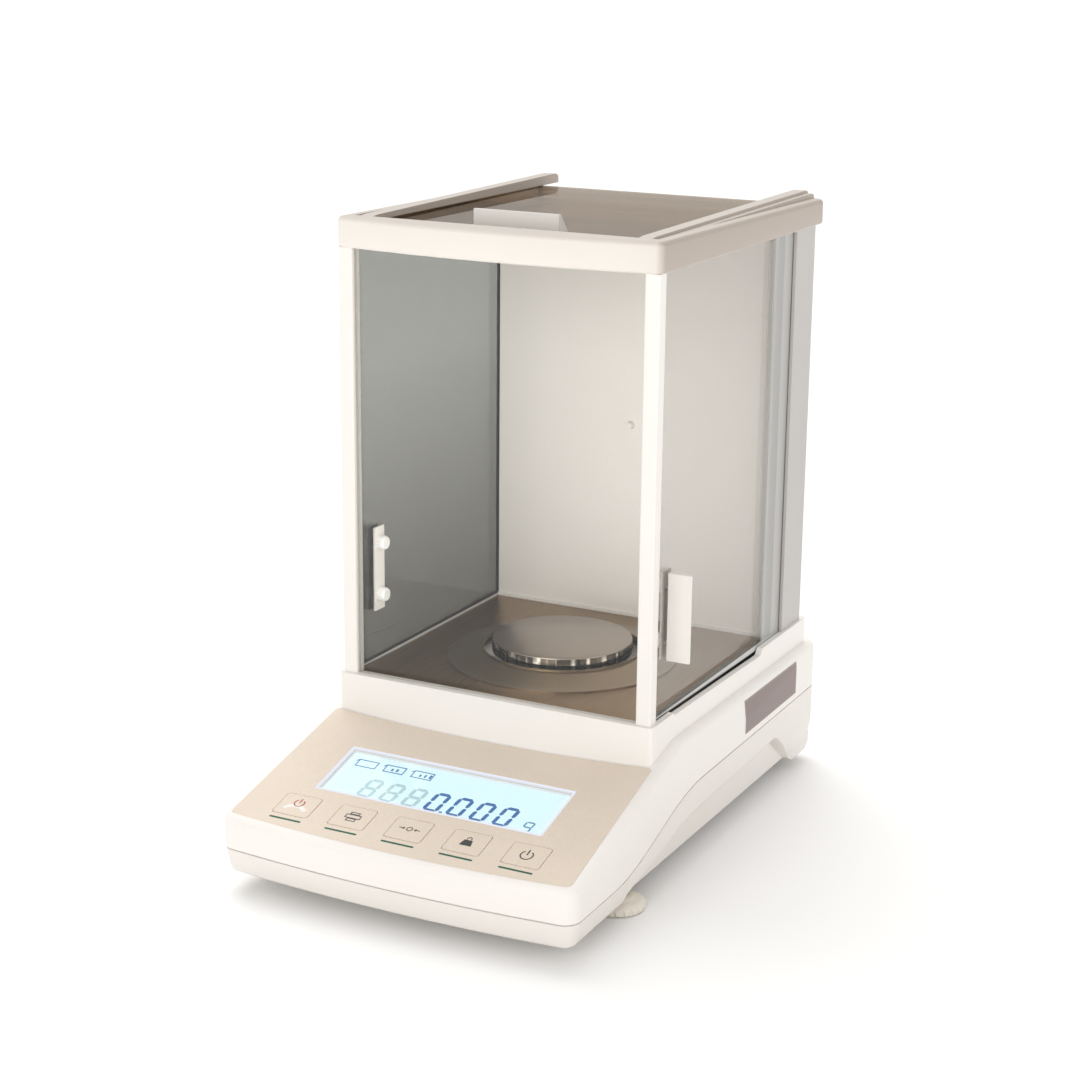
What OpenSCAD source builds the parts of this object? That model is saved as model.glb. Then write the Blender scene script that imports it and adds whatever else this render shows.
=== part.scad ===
// Precision balance with a glass draft shield, a sloping console and levelling feet.
// X runs across the balance, Y from the front to the rear, Z up from the bench.
// Lengths along Y are counted from the front faces of the shield's front posts.

/* [Base] */
// Width of the base across its side faces
base_w = 200; // [192:1:212]
// Reach of the console in front of the shield
console_reach = 112.5; // [106:0.5:124]
// Widening of the console towards its front, on each side
console_flare = 3.8; // [0:0.2:5]
// Reach of the base behind the shield's rear posts
base_tail = 16.8; // [15:0.2:24]
// Bow of the front face at its middle
front_bow = 4.7; // [2:0.1:7]
// Radius of the upright corners
corner_r = 9; // [8:0.5:12]
// Rounding along the upper edge of the console
console_edge_r = 4; // [2:0.5:6]
// Rounding along the upper edge of the shoulders
shoulder_edge_r = 5; // [3:0.5:7]
// Rounding along the lower edge of the skirt
skirt_edge_r = 4; // [2:0.5:5]
// Inward draft of the skirt from the waist to the underside
skirt_draft = 2.2; // [0.5:0.1:3]
// Wall thickness of both mouldings
wall = 2.6; // [2:0.1:3.2]

/* [Heights above the bench] */
// Underside of the skirt
belly_h = 10; // [9.5:0.5:13]
// Underside of the rear legs
leg_h = 6; // [4:0.5:7]
// Waist where the skirt's draft starts
waist_h = 25; // [20:1:30]
// Seam between the mouldings along the console
seam_front_h = 24.6; // [22:0.2:28]
// Seam between the mouldings along the shoulders
seam_rear_h = 47.6; // [42:0.2:52]
// Shoulder at its front end
shoulder_h = 76.7; // [74:0.1:84]
// Drop from the shoulder to the console's upper end
console_drop = 6.8; // [5.5:0.1:8]
// Fall of the shoulder towards the rear face
shoulder_fall = 0.7; // [0:0.1:1.5]
// Rise of the weighing deck above the shoulder
deck_rise = 14.3; // [13:0.1:18]

/* [Console] */
// Slope of the console in degrees
console_tilt = 14.7; // [12:0.1:17]
// Strip of bare console left beside the film
film_side_gap = 4.2; // [4:0.1:9]
// Thickness of the panel film
film_t = 0.4; // [0.3:0.05:0.6]
// Depth of the film's recess
film_recess = 0.5; // [0.4:0.05:0.8]
// Strip of bare console left in front of the film
film_front_gap = 4.2; // [3.5:0.1:6]
// Strip of bare console left behind the film
film_rear_gap = 1; // [0.8:0.1:3]
// Radius of the film's front corners
film_r = 4; // [3:0.5:9]
// Radius of the film's rear corners
film_rear_r = 2.5; // [1:0.5:5]
// Width of the display window
window_w = 135; // [120:1:145]
// Height of the display window along the slope
window_l = 40.4; // [34:0.2:44]
// Middle of the window, down the slope from the deck's wall
window_s = 51.7; // [48:0.1:54]
// Thickness of the display window
window_t = 1.2; // [1:0.1:1.6]
// Number of keys
key_count = 5; // [3:1:5]
// Spacing of the keys
key_pitch = 33.8; // [30:0.2:36]
// Width of a key
key_w = 21; // [16:0.5:24]
// Length of a key along the slope
key_l = 17.2; // [13:0.2:18]
// Thickness of a key's plate
key_t = 1.2; // [0.9:0.1:1.5]
// Travel of a key
key_travel = 0.5; // [0.3:0.05:0.7]
// Height of a key above the film
key_stand = 0.1; // [0:0.05:0.4]
// Middle of the keys, down the slope from the deck's wall
key_s = 88.7; // [86:0.1:91]

/* [Deck] */
// Width of the shoulder beside the deck block
deck_margin = 4.7; // [3.5:0.1:7]
// Reach of the deck block behind the shield's rear posts
deck_tail = 6.3; // [4:0.1:8]
// Thickness of the deck
deck_t = 4.2; // [3:0.2:5]
// Forward bow of the deck's front wall at its foot
deck_bow = 5.2; // [2:0.1:7]
// Depth of the grooves that guide the side doors
groove_depth = 6.9; // [5.5:0.1:8]
// Depth of the cut-outs in the sills at their front ends
sill_cut_front = 1.4; // [0.6:0.1:3]
// Depth of the cut-outs in the sills at their rear ends
sill_cut_rear = 3.6; // [2:0.1:5]
// Thickness of the steel chamber floor
floor_t = 1.2; // [0.8:0.1:1.6]

/* [Pan] */
// Distance from the front of the shield to the pan's centre
pan_y = 83.5; // [78:0.5:90]
// Radius of the pan
pan_r = 40; // [36:0.5:42]
// Height of the pan's top above the deck
pan_rise = 11.4; // [10:0.1:13]
// Height of the pan's rim
pan_rim = 7.6; // [6:0.1:8]
// Thickness of the pan's steel
pan_t = 1.2; // [0.8:0.1:1.6]
// Outer radius of the draft ring
ring_r = 65.3; // [60:0.1:70]
// Inner radius of the draft ring
ring_hole_r = 45; // [43:0.1:47]
// Rise of the draft ring's inner edge above its foot
ring_rise = 5.2; // [3:0.1:7]
// Thickness of the draft ring's sheet
ring_t = 0.8; // [0.6:0.1:1.2]

/* [Draft shield] */
// Width of the deck beside the posts
shield_margin = 1.9; // [1:0.1:3]
// Depth from the front posts to the rear posts' rear faces
shield_d = 213.2; // [208:0.2:216]
// Height of the glass chamber
shield_h = 236; // [200:1:250]
// Width of the front posts
post_w = 8.5; // [7:0.1:10]
// Depth of the front posts
post_d = 8; // [7:0.1:9]
// Width of the rear posts behind the rear wall
rear_post_w = 11; // [9:0.2:14]
// Depth of the rear posts' outer covers
cover_d = 28.8; // [24:0.2:32]
// Thickness of the rear posts' outer covers
cover_t = 1.8; // [1.4:0.1:2.2]
// Front face of the rear wall
rear_wall_y = 169.5; // [166:0.5:174]
// Thickness of the rear wall
rear_wall_t = 3.3; // [2.5:0.1:4]
// Thickness of the panes
glass_t = 3; // [2.5:0.1:3.4]
// Running gap beside a sliding pane
slide_gap = 0.4; // [0.3:0.05:0.5]
// Height of the wall plug above the deck
plug_rise = 117; // [100:1:130]

/* [Cap] */
// Overhang of the cap beside the posts
cap_overhang = 1.5; // [1:0.1:3]
// Thickness of the cap
cap_t = 16.1; // [14:0.1:18]
// Reach of the cap behind the shield's rear posts
cap_tail = 10.8; // [8:0.1:13]
// Forward bow of the cap's front face at its middle
cap_bow = 7.5; // [3:0.1:9]
// Upright corner radius of the cap
cap_corner_r = 5; // [4:0.5:7]
// Rounding along the cap's edges
cap_edge_r = 2.5; // [1:0.1:3.5]
// Fall of the cap's top from the front to the rear
cap_fall = 2; // [0:0.1:2.5]
// Depth of the step that the top pane lies on
cap_step = 6.7; // [6:0.1:7]
// Front edge of the step
step_front = 8.5; // [6:0.5:11]
// Width of the top opening
hatch_w = 140; // [120:1:144]
// Front edge of the top opening
hatch_front = 14; // [12:0.5:20]
// Depth of the ledge behind the top opening
ledge_d = 24; // [10:1:26]
// Width of the ribs over the top pane's edges
rib_w = 7.4; // [5:0.1:8]
// Rise of the ribs above the cap at their front ends
rib_front_rise = 0.4; // [0.2:0.1:2]
// Rise of the ribs above the cap at their rear ends
rib_rear_rise = 2.4; // [2:0.1:5]

/* [Grips] */
// Length of a door grip
grip_len = 48; // [40:0.5:56]
// How far a grip stands out from its pane
grip_reach = 12.8; // [10:0.1:15]
// Depth of a grip's foot
grip_foot = 10; // [8:0.1:12]
// Thickness of a grip's free edge
grip_edge = 2; // [1.5:0.1:3]
// Finger face of a side door's grip
grip_y = 23.5; // [18:0.5:30]
// Lower end of a side door's grip above the deck
grip_rise = 29.2; // [20:0.2:40]
// Spacing of a grip's screws
grip_screw_pitch = 30; // [24:0.5:34]
// Finger face of the top door's grip
top_grip_y = 24; // [20:0.5:34]
// Length of the top door's grip
top_grip_len = 50; // [38:0.5:56]
// Height of the top door's grip
top_grip_h = 9.6; // [7:0.1:11]

/* [Levelling feet] */
// Distance of the levelling screws in from the base's side faces
foot_inset = 10.5; // [10:0.1:12]
// Place of the levelling screws behind the shield's front
foot_y = -27; // [-32:0.5:-22]
// Radius of the levelling wheels
wheel_r = 15; // [13:0.1:16]
// Number of flutes around a wheel
flute_count = 20; // [14:1:24]
// Radius of the levelling screws
screw_r = 3; // [2.5:0.1:3.2]
// Travel of the levelling screws each way
level_travel = 2; // [1:0.1:2]

/* [Hidden] */

$fn = 48;
hull_fn = 32;
eps = 0.05;

shell_white = [0.93, 0.91, 0.88];
film_beige = [0.80, 0.74, 0.68];
steel = [0.62, 0.60, 0.57];
clear_glass = [0.78, 0.84, 0.83, 0.35];
board_green = [0.12, 0.34, 0.22];
dark_plastic = [0.10, 0.10, 0.11];
rubber_grey = [0.22, 0.22, 0.22];
brass = [0.75, 0.62, 0.35];
strip_grey = [0.70, 0.71, 0.70];

// Sizes that follow from the ones above.
base_rear = shield_d + base_tail;
deck_rear = shield_d + deck_tail;
cap_rear = shield_d + cap_tail;
deck_w = base_w - 2 * deck_margin;
shield_w = deck_w - 2 * shield_margin;
cap_w = shield_w + 2 * cap_overhang;
console_top_h = shoulder_h - console_drop;
shoulder_rear_h = shoulder_h - shoulder_fall;
deck_h = shoulder_h + deck_rise;

// Places that several pieces share.
origin_y = (base_rear - console_reach) / 2;
deck_front = -1.7;
side_x = base_w / 2;
corner_x = side_x - corner_r;
front_corner_x = corner_x + console_flare;
foot_x = side_x - foot_inset;
post_x = shield_w / 2;
pane_out = post_x - cover_t - slide_gap;
pane_in = pane_out - glass_t;
groove_in = pane_in - slide_gap;
groove_out = post_x - cover_t + 0.3;
cap_under = deck_h + shield_h;
cap_top = cap_under + cap_t;
step_h = cap_top - cap_step;
post_front_gap = 0.6;
pane_front = post_d + post_front_gap;
edge_strip_front = rear_wall_y + 2.5;
edge_strip_w = 18;
edge_strip_rear = edge_strip_front + edge_strip_w;
runner_top = deck_h + 1.2;
runner_bottom = deck_h - 2;
door_top = cap_under + 2.9;
door_groove_top = cap_under + 3.6;
backing_t = 1.2;
nut_r = 4;
nut_t = 4.6;
top_pane_z = step_h + 0.1;
top_pane_rear = shield_d - 7.2;
rib_out = post_x - 5.4;
rib_shelf = 3.6;
rib_in = rib_out - rib_shelf - rib_w;
top_slot_x = rib_in + 5.4;
top_slot_h = top_pane_z + glass_t + slide_gap;
tray_floor_h = belly_h + wall;
panel_x = side_x - 5;
collar_r = 21;

// Height of the console's surface at y.
function console_z(y) = console_top_h + (y - deck_front) * tan(console_tilt);

// Place of the front face's corner centres across the bow.
function bow_y(x) = -console_reach + corner_r + front_bow * pow(x / front_corner_x, 2);

// Height of the seam: level along the console, an eased rise, level along the shoulders.
seam_rise_front = -62;
seam_rise_rear = 52;
function seam_z(y) = let (t = max(0, min(1, (y - seam_rise_front) / (seam_rise_rear - seam_rise_front))))
    seam_front_h + (seam_rear_h - seam_front_h) * (1 - cos(180 * t)) / 2;
seam_points = [for (i = [0:14]) let (y = seam_rise_front + i * (seam_rise_rear - seam_rise_front) / 14)
    [y, seam_z(y)]];

module placed() {
    translate([0, -origin_y, 0]) children();
}

module both_sides() {
    children();
    mirror([1, 0, 0]) children();
}

module block(low, high) {
    translate(low) cube(high - low);
}

// An outline in Y and Z, run across X between two places.
module across(x0, x1) {
    translate([x0, 0, 0]) rotate([90, 0, 90]) linear_extrude(x1 - x0) children();
}

module rounded_outline(x0, x1, y0, y1, r) {
    translate([x0 + r, y0]) square([x1 - x0 - 2 * r, y1 - y0]);
    translate([x0, y0 + r]) square([x1 - x0, y1 - y0 - 2 * r]);
    for (x = [x0 + r, x1 - r], y = [y0 + r, y1 - r]) translate([x, y]) circle(r);
}

module plate(x0, x1, y0, y1, z0, z1, r) {
    translate([0, 0, z0]) linear_extrude(z1 - z0) rounded_outline(x0, x1, y0, y1, r);
}

// Local frame of the console: x across, y up the slope from the deck's wall, z out of it.
module on_console() {
    translate([0, deck_front, console_top_h]) rotate([console_tilt, 0, 0]) children();
}

// Base mouldings

function corner_profile(r, top, edge) = concat(
    [[0, belly_h]],
    [for (a = [-90:22.5:0]) [
        r - skirt_draft - skirt_edge_r * (1 - cos(a)), belly_h + skirt_edge_r * (1 + sin(a))]],
    [[r, waist_h]],
    [for (a = [0:22.5:90]) [r - edge * (1 - cos(a)), top - edge * (1 - sin(a))]],
    [[0, top]]);

module corner_post(x, y, top, edge, inset) {
    translate([x, y, 0]) rotate_extrude($fn = hull_fn)
        polygon(corner_profile(corner_r - inset, top - inset, edge));
}

shoulder_y = deck_front + (shoulder_h - console_top_h) / tan(console_tilt);

module base_form(inset) {
    front_reach = corner_r - console_edge_r;
    hull() {
        for (i = [-4:4]) {
            x = front_corner_x * i / 4;
            corner_post(x, bow_y(x), console_z(bow_y(x) - front_reach), console_edge_r, inset);
        }
        for (x = [-corner_x, corner_x]) {
            corner_post(x, shoulder_y + corner_r - shoulder_edge_r, shoulder_h, shoulder_edge_r, inset);
            corner_post(x, base_rear - corner_r, shoulder_rear_h, shoulder_edge_r, inset);
        }
    }
}

// Everything under the seam, lowered by drop.
module under_seam(drop) {
    far = base_rear + console_reach;
    across(-base_w, base_w) translate([0, -drop])
        polygon(concat([[-far, 0], [-far, seam_front_h]], seam_points, [[far, seam_rear_h], [far, 0]]));
}

// Inset panel along each side of the tray, with sloping ends.
recess_line = [[-62, 0], [-41, 16], [21.5, 29.8], [38, 31.8], [base_rear - 70, 34], [base_rear - 61, 32.1],
    [base_rear - 26, 7.2], [base_rear - 18, 0]];
recess_slope = 7;

module side_recess() {
    inner_line = [for (i = [0:len(recess_line) - 1]) let (p = recess_line[i])
        [p[0] + recess_slope * (i < 3 ? 0.5 : i > 4 ? -1 : 0), p[1] - 1.5]];
    hull() {
        across(panel_x, panel_x + eps) polygon(inner_line);
        across(side_x + console_flare + 1, side_x + console_flare + 2) polygon(recess_line);
    }
}

screw_places = [[side_x - 18, -88], [side_x - 22, 32], [side_x - 18, base_rear - 34]];
boss_r = 4.2;
boss_meet_h = 44;
front_boss_meet_h = 26;
function boss_meet(p) = p[1] < 0 ? front_boss_meet_h : boss_meet_h;
function boss_top(p) = p[1] < 0 ? console_z(p[1]) - 1.6 : deck_h - deck_t + 0.5;

rear_foot_place = [side_x - 34, base_rear - 20];
rear_foot_r = 8;
leg_width = 42;

module rear_leg() {
    across(panel_x - leg_width, side_x - skirt_draft - 0.6)
        polygon([[base_rear - 42, belly_h + 2], [base_rear - 30, leg_h], [base_rear - 7, leg_h],
            [base_rear - 3, leg_h + 4], [base_rear - 2.4, belly_h + 6], [base_rear - 42, belly_h + 6]]);
}

bay_x0 = -side_x + 16;
bay_x1 = -4;
bay_z0 = 21;
bay_z1 = 41;
bay_depth = 4;

jack_x = bay_x0 + 14;
jack_z = 31;
jack_r = 4.2;
port_x = bay_x1 - 28;
port_w = 31;
port_h = 12.6;

module tray_hollow() {
    inner = side_x - wall - skirt_draft;
    plate(-inner, inner, -console_reach + front_bow + wall + skirt_draft, -66,
        tray_floor_h, seam_rear_h + wall, corner_r - wall);
    plate(-panel_x + wall, panel_x - wall, -72, base_rear - wall - skirt_draft,
        tray_floor_h, seam_rear_h + wall, 4);
}

module tray_ribs() {
    for (y = [-52, 44]) block([-panel_x + 4, y, tray_floor_h - 1], [panel_x - 4, y + 1.8, tray_floor_h + 3]);
    for (x = [-52, 52]) block([x, -96, tray_floor_h - 1], [x + 1.8, base_rear - 16, tray_floor_h + 3]);
}

module lower_housing() color(shell_white) placed() difference() {
    union() {
        difference() {
            union() {
                intersection() {
                    base_form(0);
                    under_seam(0.6);
                }
                intersection() {
                    base_form(0.8);
                    under_seam(0);
                }
            }
            tray_hollow();
        }
        tray_ribs();
        both_sides() {
            rear_leg();
            translate([foot_x, foot_y, belly_h]) cylinder(r = insert_r + 1.4, h = insert_top_h - belly_h);
            for (p = screw_places) translate([p[0], p[1], belly_h]) cylinder(r = boss_r, h = boss_meet(p) - belly_h);
        }
        for (x = [-cell_w / 2 + 6, cell_w / 2 - 6], y = [cell_front + 8, cell_rear - 8])
            translate([x, y, tray_floor_h - 1]) cylinder(r = 5, h = cell_h - tray_floor_h + 1);
        for (p = board_posts) translate([p[0], p[1], tray_floor_h - 1]) cylinder(r = 2.6, h = board_h - tray_floor_h + 1);
        block([bay_x0 - wall, base_rear - bay_depth - 2 * wall, tray_floor_h], [bay_x1 + wall, base_rear - wall, bay_z1 + wall]);
    }
    both_sides() {
        side_recess();
        translate([foot_x, foot_y, belly_h - 1]) cylinder(r = screw_r + 0.4, h = insert_top_h);
        translate([foot_x, foot_y, insert_bottom_h]) cylinder(r = insert_r, h = insert_top_h);
        translate([rear_foot_place[0], rear_foot_place[1], 0]) cylinder(r = rear_foot_r + 0.1, h = leg_h + 2.5);
        for (p = screw_places) translate([p[0], p[1], 0]) {
            cylinder(r = 1.7, h = boss_meet(p) + 1);
            cylinder(r = 3.4, h = belly_h + 3);
        }
    }
    plate_cut = [bay_x0, bay_x1];
    block([plate_cut[0], base_rear - bay_depth, bay_z0], [plate_cut[1], base_rear + 1, bay_z1]);
    translate([jack_x, base_rear, jack_z]) rotate([90, 0, 0]) cylinder(r = jack_r, h = 2 * wall + bay_depth + 1);
    block([port_x - 9.4, base_rear - bay_depth - 3 * wall, jack_z - 4.6], [port_x + 9.4, base_rear, jack_z + 4.6]);
}

// Console and deck moulding

film_front = -console_reach + front_bow + film_front_gap;
film_s_front = -(deck_front - film_front) / cos(console_tilt);
film_front_half = side_x - film_side_gap + console_flare * 0.93;
film_rear_half = side_x - film_side_gap + console_flare * 0.2;
film_bow = front_bow * 0.86;
film_rear_bow = deck_bow * 0.88;

function arc(x, y, r, start) = [for (i = [0:6]) [x + r * cos(start + 15 * i), y + r * sin(start + 15 * i)]];

// The film's front edge follows the bow of the console, its rear edge that of the deck's wall.
module film_outline(grow) {
    front = film_s_front - grow;
    rear = -film_rear_gap + grow;
    front_x = film_front_half + grow - film_r;
    rear_x = film_rear_half + grow - film_rear_r;
    wall_x = deck_w / 2 - deck_corner_r;
    polygon(concat(
        [for (i = [-8:8]) [front_x * i / 8, front - film_bow * (1 - pow(i / 8, 2))]],
        arc(front_x, front + film_r, film_r, -90),
        arc(rear_x, rear - film_rear_r, film_rear_r, 0),
        [for (i = [8:-1:-8]) [wall_x * i / 8, rear - film_rear_bow * (1 - pow(i / 8, 2))]],
        arc(-rear_x, rear - film_rear_r, film_rear_r, 90),
        arc(-front_x, front + film_r, film_r, 180)));
}

key_gap = 0.35;

module key_outline(i, grow) {
    x = key_pitch * (i - (key_count - 1) / 2);
    rounded_outline(x - key_w / 2 - grow, x + key_w / 2 + grow,
        -key_s - key_l / 2 - grow, -key_s + key_l / 2 + grow, 1.6 + grow);
}

module window_outline(grow) {
    rounded_outline(-window_w / 2 - grow, window_w / 2 + grow,
        -window_s - window_l / 2 - grow, -window_s + window_l / 2 + grow, 1 + grow);
}

key_top = film_t - film_recess + key_stand;
key_sink = key_t - key_top + key_travel + 0.05;
board_drop = 11;
display_board_t = 1.6;
stem_w = 8;
stem_l = 6;
stem_drop = 7;

module console_cuts() on_console() {
    translate([0, 0, -film_recess]) linear_extrude(4) film_outline(0.1);
    translate([0, 0, -film_recess + film_t - window_t]) linear_extrude(4) window_outline(0.1);
    translate([-window_w / 2 + 2, -window_s - window_l / 2 + 2, -8]) cube([window_w - 4, window_l - 4, 9]);
    for (i = [0:key_count - 1]) {
        translate([0, 0, -key_sink]) linear_extrude(4) key_outline(i, key_gap);
        x = key_pitch * (i - (key_count - 1) / 2);
        translate([x - stem_w / 2 - 0.4, -key_s - stem_l / 2 - 0.4, -8]) cube([stem_w + 0.8, stem_l + 0.8, 9]);
    }
}

board_screw_x = 51.3;
board_screws = [[-board_screw_x, 12], [board_screw_x, 12], [-board_screw_x, 77], [board_screw_x, 77]];
display_board_w = 148;
display_board_l = 80;
deck_corner_r = 2.5;
display_board_front = film_s_front + 3;

module deck_form() {
    foot_h = console_top_h - 5;
    hull() {
        translate([0, 0, deck_h - 1]) linear_extrude(1)
            rounded_outline(-deck_w / 2, deck_w / 2, deck_front, deck_rear, deck_corner_r, $fn = hull_fn);
        translate([0, 0, foot_h]) linear_extrude(1) union() {
            rounded_outline(-deck_w / 2, deck_w / 2, deck_front, deck_rear, deck_corner_r, $fn = hull_fn);
            polygon(concat([for (i = [-8:8]) let (x = (deck_w / 2 - deck_corner_r) * i / 8)
                [x, deck_front - deck_bow * (1 - pow(i / 8, 2))]],
                [for (side = [1, -1]) [side * (deck_w / 2 - deck_corner_r), deck_front + 1]]));
        }
    }
}

module housing_hollow() {
    roof = wall / cos(console_tilt);
    front = -console_reach + front_bow + wall;
    intersection() {
        across(-base_w, base_w) polygon([
            [front, 0], [front, console_z(front) - roof],
            [shoulder_y, shoulder_h - roof], [base_rear - wall, shoulder_rear_h - wall],
            [base_rear - wall, 0]]);
        plate(-side_x + wall, side_x - wall, front, base_rear - wall, 0, deck_h, corner_r - wall);
    }
    block([-groove_in + 3, 5, 0], [groove_in - 3, deck_rear - 3, deck_h - deck_t]);
}

module sill_cutouts() {
    across(groove_out - 1, deck_w / 2 + 1) polygon([
        [27, deck_h - sill_cut_front], [26, deck_h + 1], [rear_wall_y - 18.5, deck_h + 1],
        [rear_wall_y - 21.5, deck_h - sill_cut_rear + 1], [rear_wall_y - 22.5, deck_h - sill_cut_rear]]);
}

module upper_housing() color(shell_white) placed() difference() {
    union() {
        difference() {
            union() {
                difference() {
                    base_form(0);
                    under_seam(0);
                }
                deck_form();
            }
            housing_hollow();
            plate(-groove_in, groove_in, 5.6, rear_wall_y, deck_h - floor_t, deck_h + 1, 1.2);
        }
        translate([0, pan_y, deck_h - deck_t]) cylinder(r = collar_r + 2, h = deck_t + 2.2);
        both_sides() for (p = screw_places) translate([p[0], p[1], boss_meet(p)])
            cylinder(r = boss_r, h = boss_top(p) - boss_meet(p));
        on_console() for (p = board_screws)
            translate([p[0], display_board_front + p[1], -board_drop]) cylinder(r = 2.6, h = board_drop - 1);
    }
    translate([0, pan_y, deck_h - 20]) cylinder(r = collar_r, h = 30);
    both_sides() {
        block([groove_in, post_d + 0.2, deck_h - groove_depth], [groove_out, deck_rear + 1, deck_h + 1]);
        sill_cutouts();
        for (p = screw_places) translate([p[0], p[1], boss_meet(p) - 1]) cylinder(r = 1.62, h = 13);
        for (p = shield_screw_places) {
            translate([p[0], p[1], deck_h - 20]) cylinder(r = 2.1, h = 30);
            translate([p[0], p[1], deck_h - 26]) cylinder(r = 3.3, h = p[2] + 26 - deck_h);
        }
    }
    console_cuts();
}

module panel_film() color(film_beige) placed() on_console() {
    translate([0, 0, -film_recess]) linear_extrude(film_t) difference() {
        film_outline(0);
        window_outline(0.05);
        for (i = [0:key_count - 1]) key_outline(i, key_gap);
    }
}

module display_window() color(clear_glass) placed() on_console() {
    translate([0, 0, -film_recess + film_t - window_t]) linear_extrude(window_t) window_outline(0);
}

module display_module() color([0.72, 0.90, 0.95]) placed() on_console() {
    face = -roof_t - 0.2;
    translate([-window_w / 2 - 2, -window_s - window_l / 2 - 2, -board_drop])
        cube([window_w + 4, window_l + 4, board_drop + face]);
    translate([-window_w / 2 + 3, -window_s - window_l / 2 + 3, face - 0.1])
        cube([window_w - 6, window_l - 6, 1.2]);
}

roof_t = wall;

module display_board() color(board_green) placed() on_console() {
    difference() {
        translate([-display_board_w / 2, display_board_front, -board_drop - display_board_t])
            cube([display_board_w, display_board_l, display_board_t]);
        for (p = board_screws) translate([p[0], display_board_front + p[1], -board_drop - 5])
            cylinder(r = 1.3, h = 9);
    }
}

switch_w = 6;

module key_switches() color(dark_plastic) placed() on_console() {
    for (i = [0:key_count - 1]) translate([key_pitch * (i - (key_count - 1) / 2), -key_s, -board_drop]) {
        translate([-switch_w / 2, -switch_w / 2, 0]) cube([switch_w, switch_w, 2.4]);
        cylinder(r = 1.7, h = board_drop - stem_drop - key_travel - 0.15);
    }
}

module key_cap(i) color(film_beige) placed() on_console() {
    translate([0, 0, key_top - key_t]) linear_extrude(key_t) key_outline(i, 0);
    translate([key_pitch * (i - (key_count - 1) / 2) - stem_w / 2, -key_s - stem_l / 2, -stem_drop])
        cube([stem_w, stem_l, stem_drop + key_top - key_t + 0.1]);
}

module key_1() key_cap(0);
module key_2() key_cap(1);
module key_3() key_cap(2);
module key_4() key_cap(3);
module key_5() key_cap(4);

// Chamber floor, ring and pan

module chamber_floor() color(steel) placed() difference() {
    plate(-groove_in + 0.3, groove_in - 0.3, 5.8, rear_wall_y - 0.3, deck_h - floor_t, deck_h, 1);
    translate([0, pan_y, deck_h - 5]) cylinder(r = ring_hole_r + 3, h = 10);
}

module draft_ring() color(steel) placed() translate([0, pan_y, deck_h]) rotate_extrude($fn = 96) polygon([
    [ring_r, 0], [ring_r, ring_t], [ring_r - 3, ring_t + 0.2], [ring_hole_r + 0.9, ring_rise],
    [ring_hole_r + 0.9, ring_rise + 1.2], [ring_hole_r, ring_rise + 1.2],
    [ring_hole_r, ring_rise - ring_t], [ring_r - 3.4, 0]]);

pan_hub_r = 8;
pan_pin_r = 4;
hub_bottom = pan_rise - pan_rim + 0.2;

module weighing_pan() color(steel) placed() translate([0, pan_y, deck_h]) {
    rotate_extrude($fn = 96) polygon([
        [0, pan_rise], [pan_r - 1.6, pan_rise], [pan_r - 0.5, pan_rise - 0.45], [pan_r, pan_rise - 1.5],
        [pan_r, pan_rise - pan_rim], [pan_r - pan_t, pan_rise - pan_rim],
        [pan_r - pan_t, pan_rise - pan_t - 0.6], [pan_r - pan_t - 0.6, pan_rise - pan_t],
        [0, pan_rise - pan_t]]);
    difference() {
        translate([0, 0, hub_bottom]) cylinder(r = pan_hub_r, h = pan_rise - pan_t - hub_bottom + 0.1);
        translate([0, 0, hub_bottom - 1]) cylinder(r = pan_pin_r + 0.05, h = 5);
    }
}

// Weigh cell

cell_w = 60;
cell_front = pan_y - 21.5;
cell_rear = cell_front + 132;
cell_h = 14;
cell_plate_t = 8;
cheek_in = 22;
cheek_t = 6;
cheek_front = pan_y + 13.5;
guide_h = deck_h - 23;
guide_t = 1.2;
guide_front = pan_y - 11.5;
pivot_y = pan_y + 22.5;
pivot_h = guide_h - 17;
pivot_r = 1.5;
beam_front = pivot_y - 12;
beam_w = 10;
beam_bottom = pivot_h - 2.5;
beam_top = pivot_h + 3;
coil_y = pivot_y + 52;
coil_r = 13.5;
coil_t = 1.5;
receiver_w = 20;
pot_base = cell_h + cell_plate_t;
pot_r = 20;
pot_gap = beam_bottom - pot_base;
receiver_bottom = pot_base + 3;

module cell_frame() color([0.70, 0.71, 0.72]) placed() difference() {
    union() {
        block([-cell_w / 2, cell_front, cell_h], [cell_w / 2, cell_rear, cell_h + cell_plate_t]);
        both_sides() block([cheek_in, cheek_front, cell_h], [cheek_in + cheek_t, cell_rear, guide_h]);
        block([-cheek_in - 1, cell_rear - 8, cell_h], [cheek_in + 1, cell_rear, guide_h]);
    }
    translate([-cell_w, pivot_y, pivot_h]) rotate([0, 90, 0]) cylinder(r = pivot_r + 0.05, h = 2 * cell_w);
    both_sides() block([cheek_in - 1, pivot_y + 22, pot_base + 12], [cheek_in + cheek_t + 1, cell_rear - 20, guide_h - 10]);
}

module guide_arms() color([0.76, 0.77, 0.78]) placed() {
    difference() {
        across(-cheek_in - cheek_t, cheek_in + cheek_t)
            polygon([[guide_front, guide_h], [cell_rear, guide_h], [cell_rear, guide_h + guide_t],
                [guide_front, guide_h + guide_t]]);
        translate([0, pan_y, guide_h - 1]) cylinder(r = pan_pin_r + 3, h = 4);
        block([-14, pivot_y - 2, guide_h - 1], [14, coil_y + 8, guide_h + 3]);
    }
    block([-18, guide_front - 2, pot_base], [18, pivot_y + 16, pot_base + guide_t]);
}

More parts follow.
